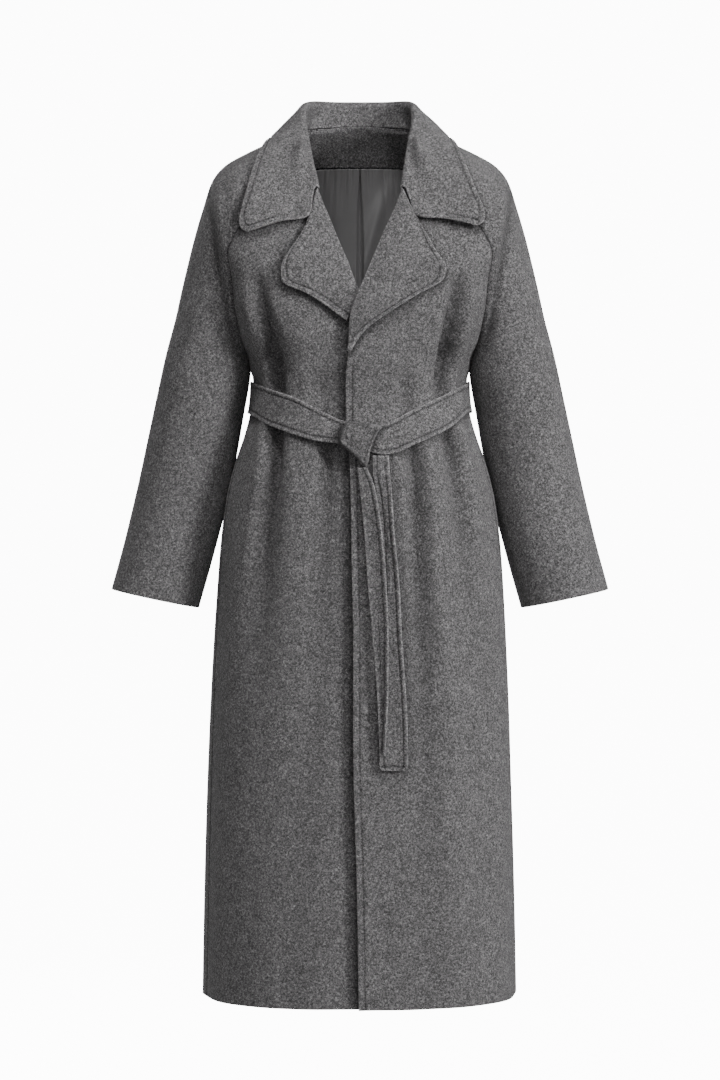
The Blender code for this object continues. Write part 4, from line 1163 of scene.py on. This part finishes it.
def woolMaterial(name, tint=1.0):
    material, nodes, links, shader = newMaterial(name)
    setInputs(shader, {"Roughness": woolLook["roughness"], "Specular IOR Level": 0.2,
                       "Sheen Weight": woolLook["sheen"], "Sheen Roughness": 0.5,
                       "Sheen Tint": (0.75, 0.74, 0.75, 1)})
    coords = nodes.new("ShaderNodeTexCoord")
    group = nodes.new("ShaderNodeGroup")
    group.node_tree = melange
    setInputs(group, {"Hair": woolLook["hair"], "Cloud": woolLook["cloud"]})
    links.new(coords.outputs["Object"], group.inputs["Vector"])
    ramp = nodes.new("ShaderNodeValToRGB")
    stops = ramp.color_ramp.elements
    stops[0].color, stops[1].color = grey(woolLook["dark"] * tint), grey(woolLook["pale"] * tint)
    stops.new(0.45).color = grey(woolLook["middle"] * tint)
    links.new(group.outputs["Mix"], ramp.inputs["Fac"])
    paintedLightShade = nodes.new("ShaderNodeAttribute")  # painted light and shade: 1 is a painted highlight on the rim, -1 painted shade down in a pressed line, seam or fold, and under an edge
    paintedLightShade.attribute_name = "paintedLightShade"
    lighter = nodes.new("ShaderNodeMapRange")
    setInputs(lighter, {"From Min": -1.0, "To Min": 1 - woolLook["paintedLightAmount"],
                        "To Max": 1 + woolLook["paintedLightAmount"]})
    links.new(paintedLightShade.outputs["Fac"], lighter.inputs["Value"])
    shadedColour = nodes.new("ShaderNodeVectorMath")
    shadedColour.operation = "SCALE"
    links.new(ramp.outputs["Color"], shadedColour.inputs[0])
    links.new(lighter.outputs["Result"], shadedColour.inputs["Scale"])
    links.new(shadedColour.outputs["Vector"], shader.inputs["Base Color"])
    roughened(nodes, links, shader, group.outputs["Height"], woolLook["bump"], 0.0006)
    return material


satinLook = {"base": 0.14, "roughness": 0.38, "thread": 2600.0, "bump": 0.08}


def satinMaterial():
    material, nodes, links, shader = newMaterial("greyLining")
    setInputs(shader, {"Base Color": grey(satinLook["base"], 0.01), "Roughness": satinLook["roughness"],
                       "Specular IOR Level": 0.45, "Anisotropic": 0.4})
    coords = nodes.new("ShaderNodeTexCoord")
    wave = nodes.new("ShaderNodeTexWave")
    wave.bands_direction = "DIAGONAL"
    wave.inputs["Scale"].default_value = satinLook["thread"]
    links.new(coords.outputs["UV"], wave.inputs["Vector"])
    roughened(nodes, links, shader, wave.outputs["Fac"], satinLook["bump"], 0.0001)
    return material


wool = woolMaterial("greyWool")
thread = woolMaterial("woolThread", 1.15)
satin = satinMaterial()
pieces = {"front_left": frontLeft, "front_right": frontRight, "back": backPanel,
          "sleeve_left": sleeveLeft, "sleeve_right": sleeveRight, "collar": collarCloth,
          "lapel_left": lapelLeft, "lapel_right": lapelRight, "neck_facing": neckFacing,
          "lining_back": liningBack, "belt_waist": beltWaist, "belt_knot": beltKnot,
          "belt_end_left": beltEndLeft, "belt_end_right": beltEndRight}
for node, piece in pieces.items():
    piece.data.materials.append(satin if node == "lining_back" else wool)
    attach(piece, "root")
    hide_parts(node)

# Stitches: one small thread each, laid along the pressed lines
print("stitches")


def stitchPath(name, side, inset, reach):
    note = pieceNotes[name]
    face, rule = note["outer"] + note["normal"] * 0.12, note[side]
    if side in ("v0", "v1"):
        face, rule = face.transpose(1, 0, 2), rule.T
    keep = np.broadcast_to(reach(*(note[c] for c in ("u0", "v0", "u1", "v1"))), note["u0"].shape)
    keep = keep.T if side in ("v0", "v1") else keep
    path = []
    for line, far, on in zip(face, rule, keep):
        order = np.argsort(far)
        if far[order[-1]] < inset:
            continue
        if np.interp(inset, far[order], on[order]) > 0.6:
            path.append([np.interp(inset, far[order], line[order, a]) for a in range(3)])
    return path


def stitchTree():
    tree = bpy.data.node_groups.new("stitchRun", "GeometryNodeTree")
    socket(tree, "Geometry", "NodeSocketGeometry", "INPUT")
    for name in ("Pitch", "Length", "Thick"):
        socket(tree, name, "NodeSocketFloat", "INPUT")
    socket(tree, "Material", "NodeSocketMaterial", "INPUT")
    socket(tree, "Geometry", "NodeSocketGeometry", "OUTPUT")
    nodes, links = tree.nodes, tree.links
    inside, outside = nodes.new("NodeGroupInput"), nodes.new("NodeGroupOutput")
    curve = nodes.new("GeometryNodeMeshToCurve")
    spots = nodes.new("GeometryNodeCurveToPoints")
    spots.mode = "LENGTH"
    turn = nodes.new("FunctionNodeAlignRotationToVector")
    turn.axis = "Z"
    bead = nodes.new("GeometryNodeMeshUVSphere")
    setInputs(bead, {"Segments": 6, "Rings": 4, "Radius": 0.5})
    size = nodes.new("ShaderNodeCombineXYZ")
    place = nodes.new("GeometryNodeInstanceOnPoints")
    real = nodes.new("GeometryNodeRealizeInstances")
    paint = nodes.new("GeometryNodeSetMaterial")
    for start, outName, end, inName in (
            (inside, "Geometry", curve, "Mesh"), (curve, "Curve", spots, "Curve"),
            (inside, "Pitch", spots, "Length"), (spots, "Tangent", turn, "Vector"),
            (inside, "Thick", size, "X"), (inside, "Thick", size, "Y"), (inside, "Length", size, "Z"),
            (spots, "Points", place, "Points"), (bead, "Mesh", place, "Instance"),
            (turn, "Rotation", place, "Rotation"), (size, "Vector", place, "Scale"),
            (place, "Instances", real, "Geometry"), (real, "Geometry", paint, "Geometry"),
            (inside, "Material", paint, "Material"), (paint, "Geometry", outside, "Geometry")):
        links.new(start.outputs[outName], end.inputs[inName])
    return tree


stitchRun = stitchTree()


def stitched(name, lines):
    points, edges = [], []
    for side, inset, reach in lines:
        path = stitchPath(name, side, inset, reach)
        edges += [(len(points) + k, len(points) + k + 1) for k in range(len(path) - 1)]
        points += path
    mesh = bpy.data.meshes.new(name + "Stitches")
    mesh.from_pydata((np.array(points) * mm).tolist(), edges, [])
    thing = bpy.data.objects.new(name + "Stitches", mesh)
    bpy.context.scene.collection.objects.link(thing)
    modifier = thing.modifiers.new("stitches", "NODES")
    modifier.node_group = stitchRun
    values = {"Pitch": stitchLook["pitch"] * mm, "Length": stitchLook["length"] * mm,
              "Thick": stitchLook["thick"] * mm, "Material": thread}
    for item in stitchRun.interface.items_tree:
        if item.in_out == "INPUT" and item.name in values:
            modifier[item.identifier] = values[item.name]
    seen = bpy.context.evaluated_depsgraph_get()
    made = bpy.data.meshes.new_from_object(thing.evaluated_get(seen), depsgraph=seen)
    thing.modifiers.clear()
    thing.data = made
    made.polygons.foreach_set("use_smooth", [True] * len(made.polygons))
    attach(thing, "root")
    return thing


for name, lines in (("collarCloth", collarGrooves), ("lapelLeft", edgeLine), ("lapelRight", edgeLine),
                    ("frontLeft", frontLines), ("beltWaist", beltLines),
                    ("beltEndLeft", endLines), ("beltEndRight", turnedLines)):
    stitched(name, lines)

# Studio: a wide pale floor, a world that looks white, and soft light from the wearer's left
print("studio")
studio = {"floorZ": -1.9, "floorWide": 30.0, "world": 0.22, "key": 215.0, "fill": 34.0, "top": 108.0,
          "back": 150.0, "distance": 4.2, "lens": 98.6, "height": -0.554, "glow": 12.0}


def floorMesh():
    w, z = studio["floorWide"], studio["floorZ"]
    points, faces = [(-w, -w, z), (w, -w, z), (w, w, z), (-w, w, z)], [(0, 1, 2, 3)]
    mesh = bpy.data.meshes.new("floor")
    mesh.from_pydata(points, [], faces)
    thing = bpy.data.objects.new("floor", mesh)
    bpy.context.scene.collection.objects.link(thing)
    material, nodes, links, shader = newMaterial("paleFloor")
    setInputs(shader, {"Base Color": (0.6, 0.6, 0.6, 1), "Roughness": 1.0, "Specular IOR Level": 0.0,
                       "Emission Color": (1, 1, 1, 1)})
    path = nodes.new("ShaderNodeLightPath")  # the glow is for the eye, so that it doesn't light the cloth
    glow = nodes.new("ShaderNodeMath")
    glow.operation = "MULTIPLY"
    glow.inputs[1].default_value = studio["glow"]
    links.new(path.outputs["Is Camera Ray"], glow.inputs[0])
    links.new(glow.outputs["Value"], shader.inputs["Emission Strength"])
    mesh.materials.append(material)
    return thing


floor = floorMesh()


def areaLight(name, place, target, size, power):
    light = bpy.data.lights.new(name, "AREA")
    light.shape = "RECTANGLE"
    light.size, light.size_y = size
    light.energy = power
    thing = bpy.data.objects.new(name, light)
    thing.location = place
    thing.rotation_euler = (Vector(target) - Vector(place)).to_track_quat("-Z", "Y").to_euler()
    bpy.context.scene.collection.objects.link(thing)
    return thing


areaLight("keyLight", (3.2, -2.4, 0.9), (0, 0, -0.6), (1.0, 1.6), studio["key"])
areaLight("frontLight", (-1.0, -4.6, 0.3), (0, 0, -0.6), (1.6, 2.2), studio["fill"])
areaLight("topLight", (0.3, -1.7, 2.8), (0, 0, -0.4), (0.8, 0.5), studio["top"])
areaLight("backLight", (-1.6, 4.6, 0.6), (0, 0, -0.6), (1.8, 2.2), studio["back"])
world = bpy.data.worlds.new("studioWorld")
bpy.context.scene.world = world
world.use_nodes = True
sky = world.node_tree
sky.nodes["Background"].inputs["Color"].default_value = (1, 1, 1, 1)
seenBy = sky.nodes.new("ShaderNodeLightPath")
strength = sky.nodes.new("ShaderNodeMapRange")
setInputs(strength, {"To Min": studio["world"], "To Max": studio["glow"]})
sky.links.new(seenBy.outputs["Is Camera Ray"], strength.inputs["Value"])
sky.links.new(strength.outputs["Result"], sky.nodes["Background"].inputs["Strength"])

camera = bpy.data.cameras.new("view")
camera.lens = studio["lens"]
camera.sensor_width = 36
view = bpy.data.objects.new("view", camera)
view.location = (0, -studio["distance"], studio["height"])
view.rotation_euler = (math.pi / 2, 0, 0)
bpy.context.scene.collection.objects.link(view)
bpy.context.scene.camera = view
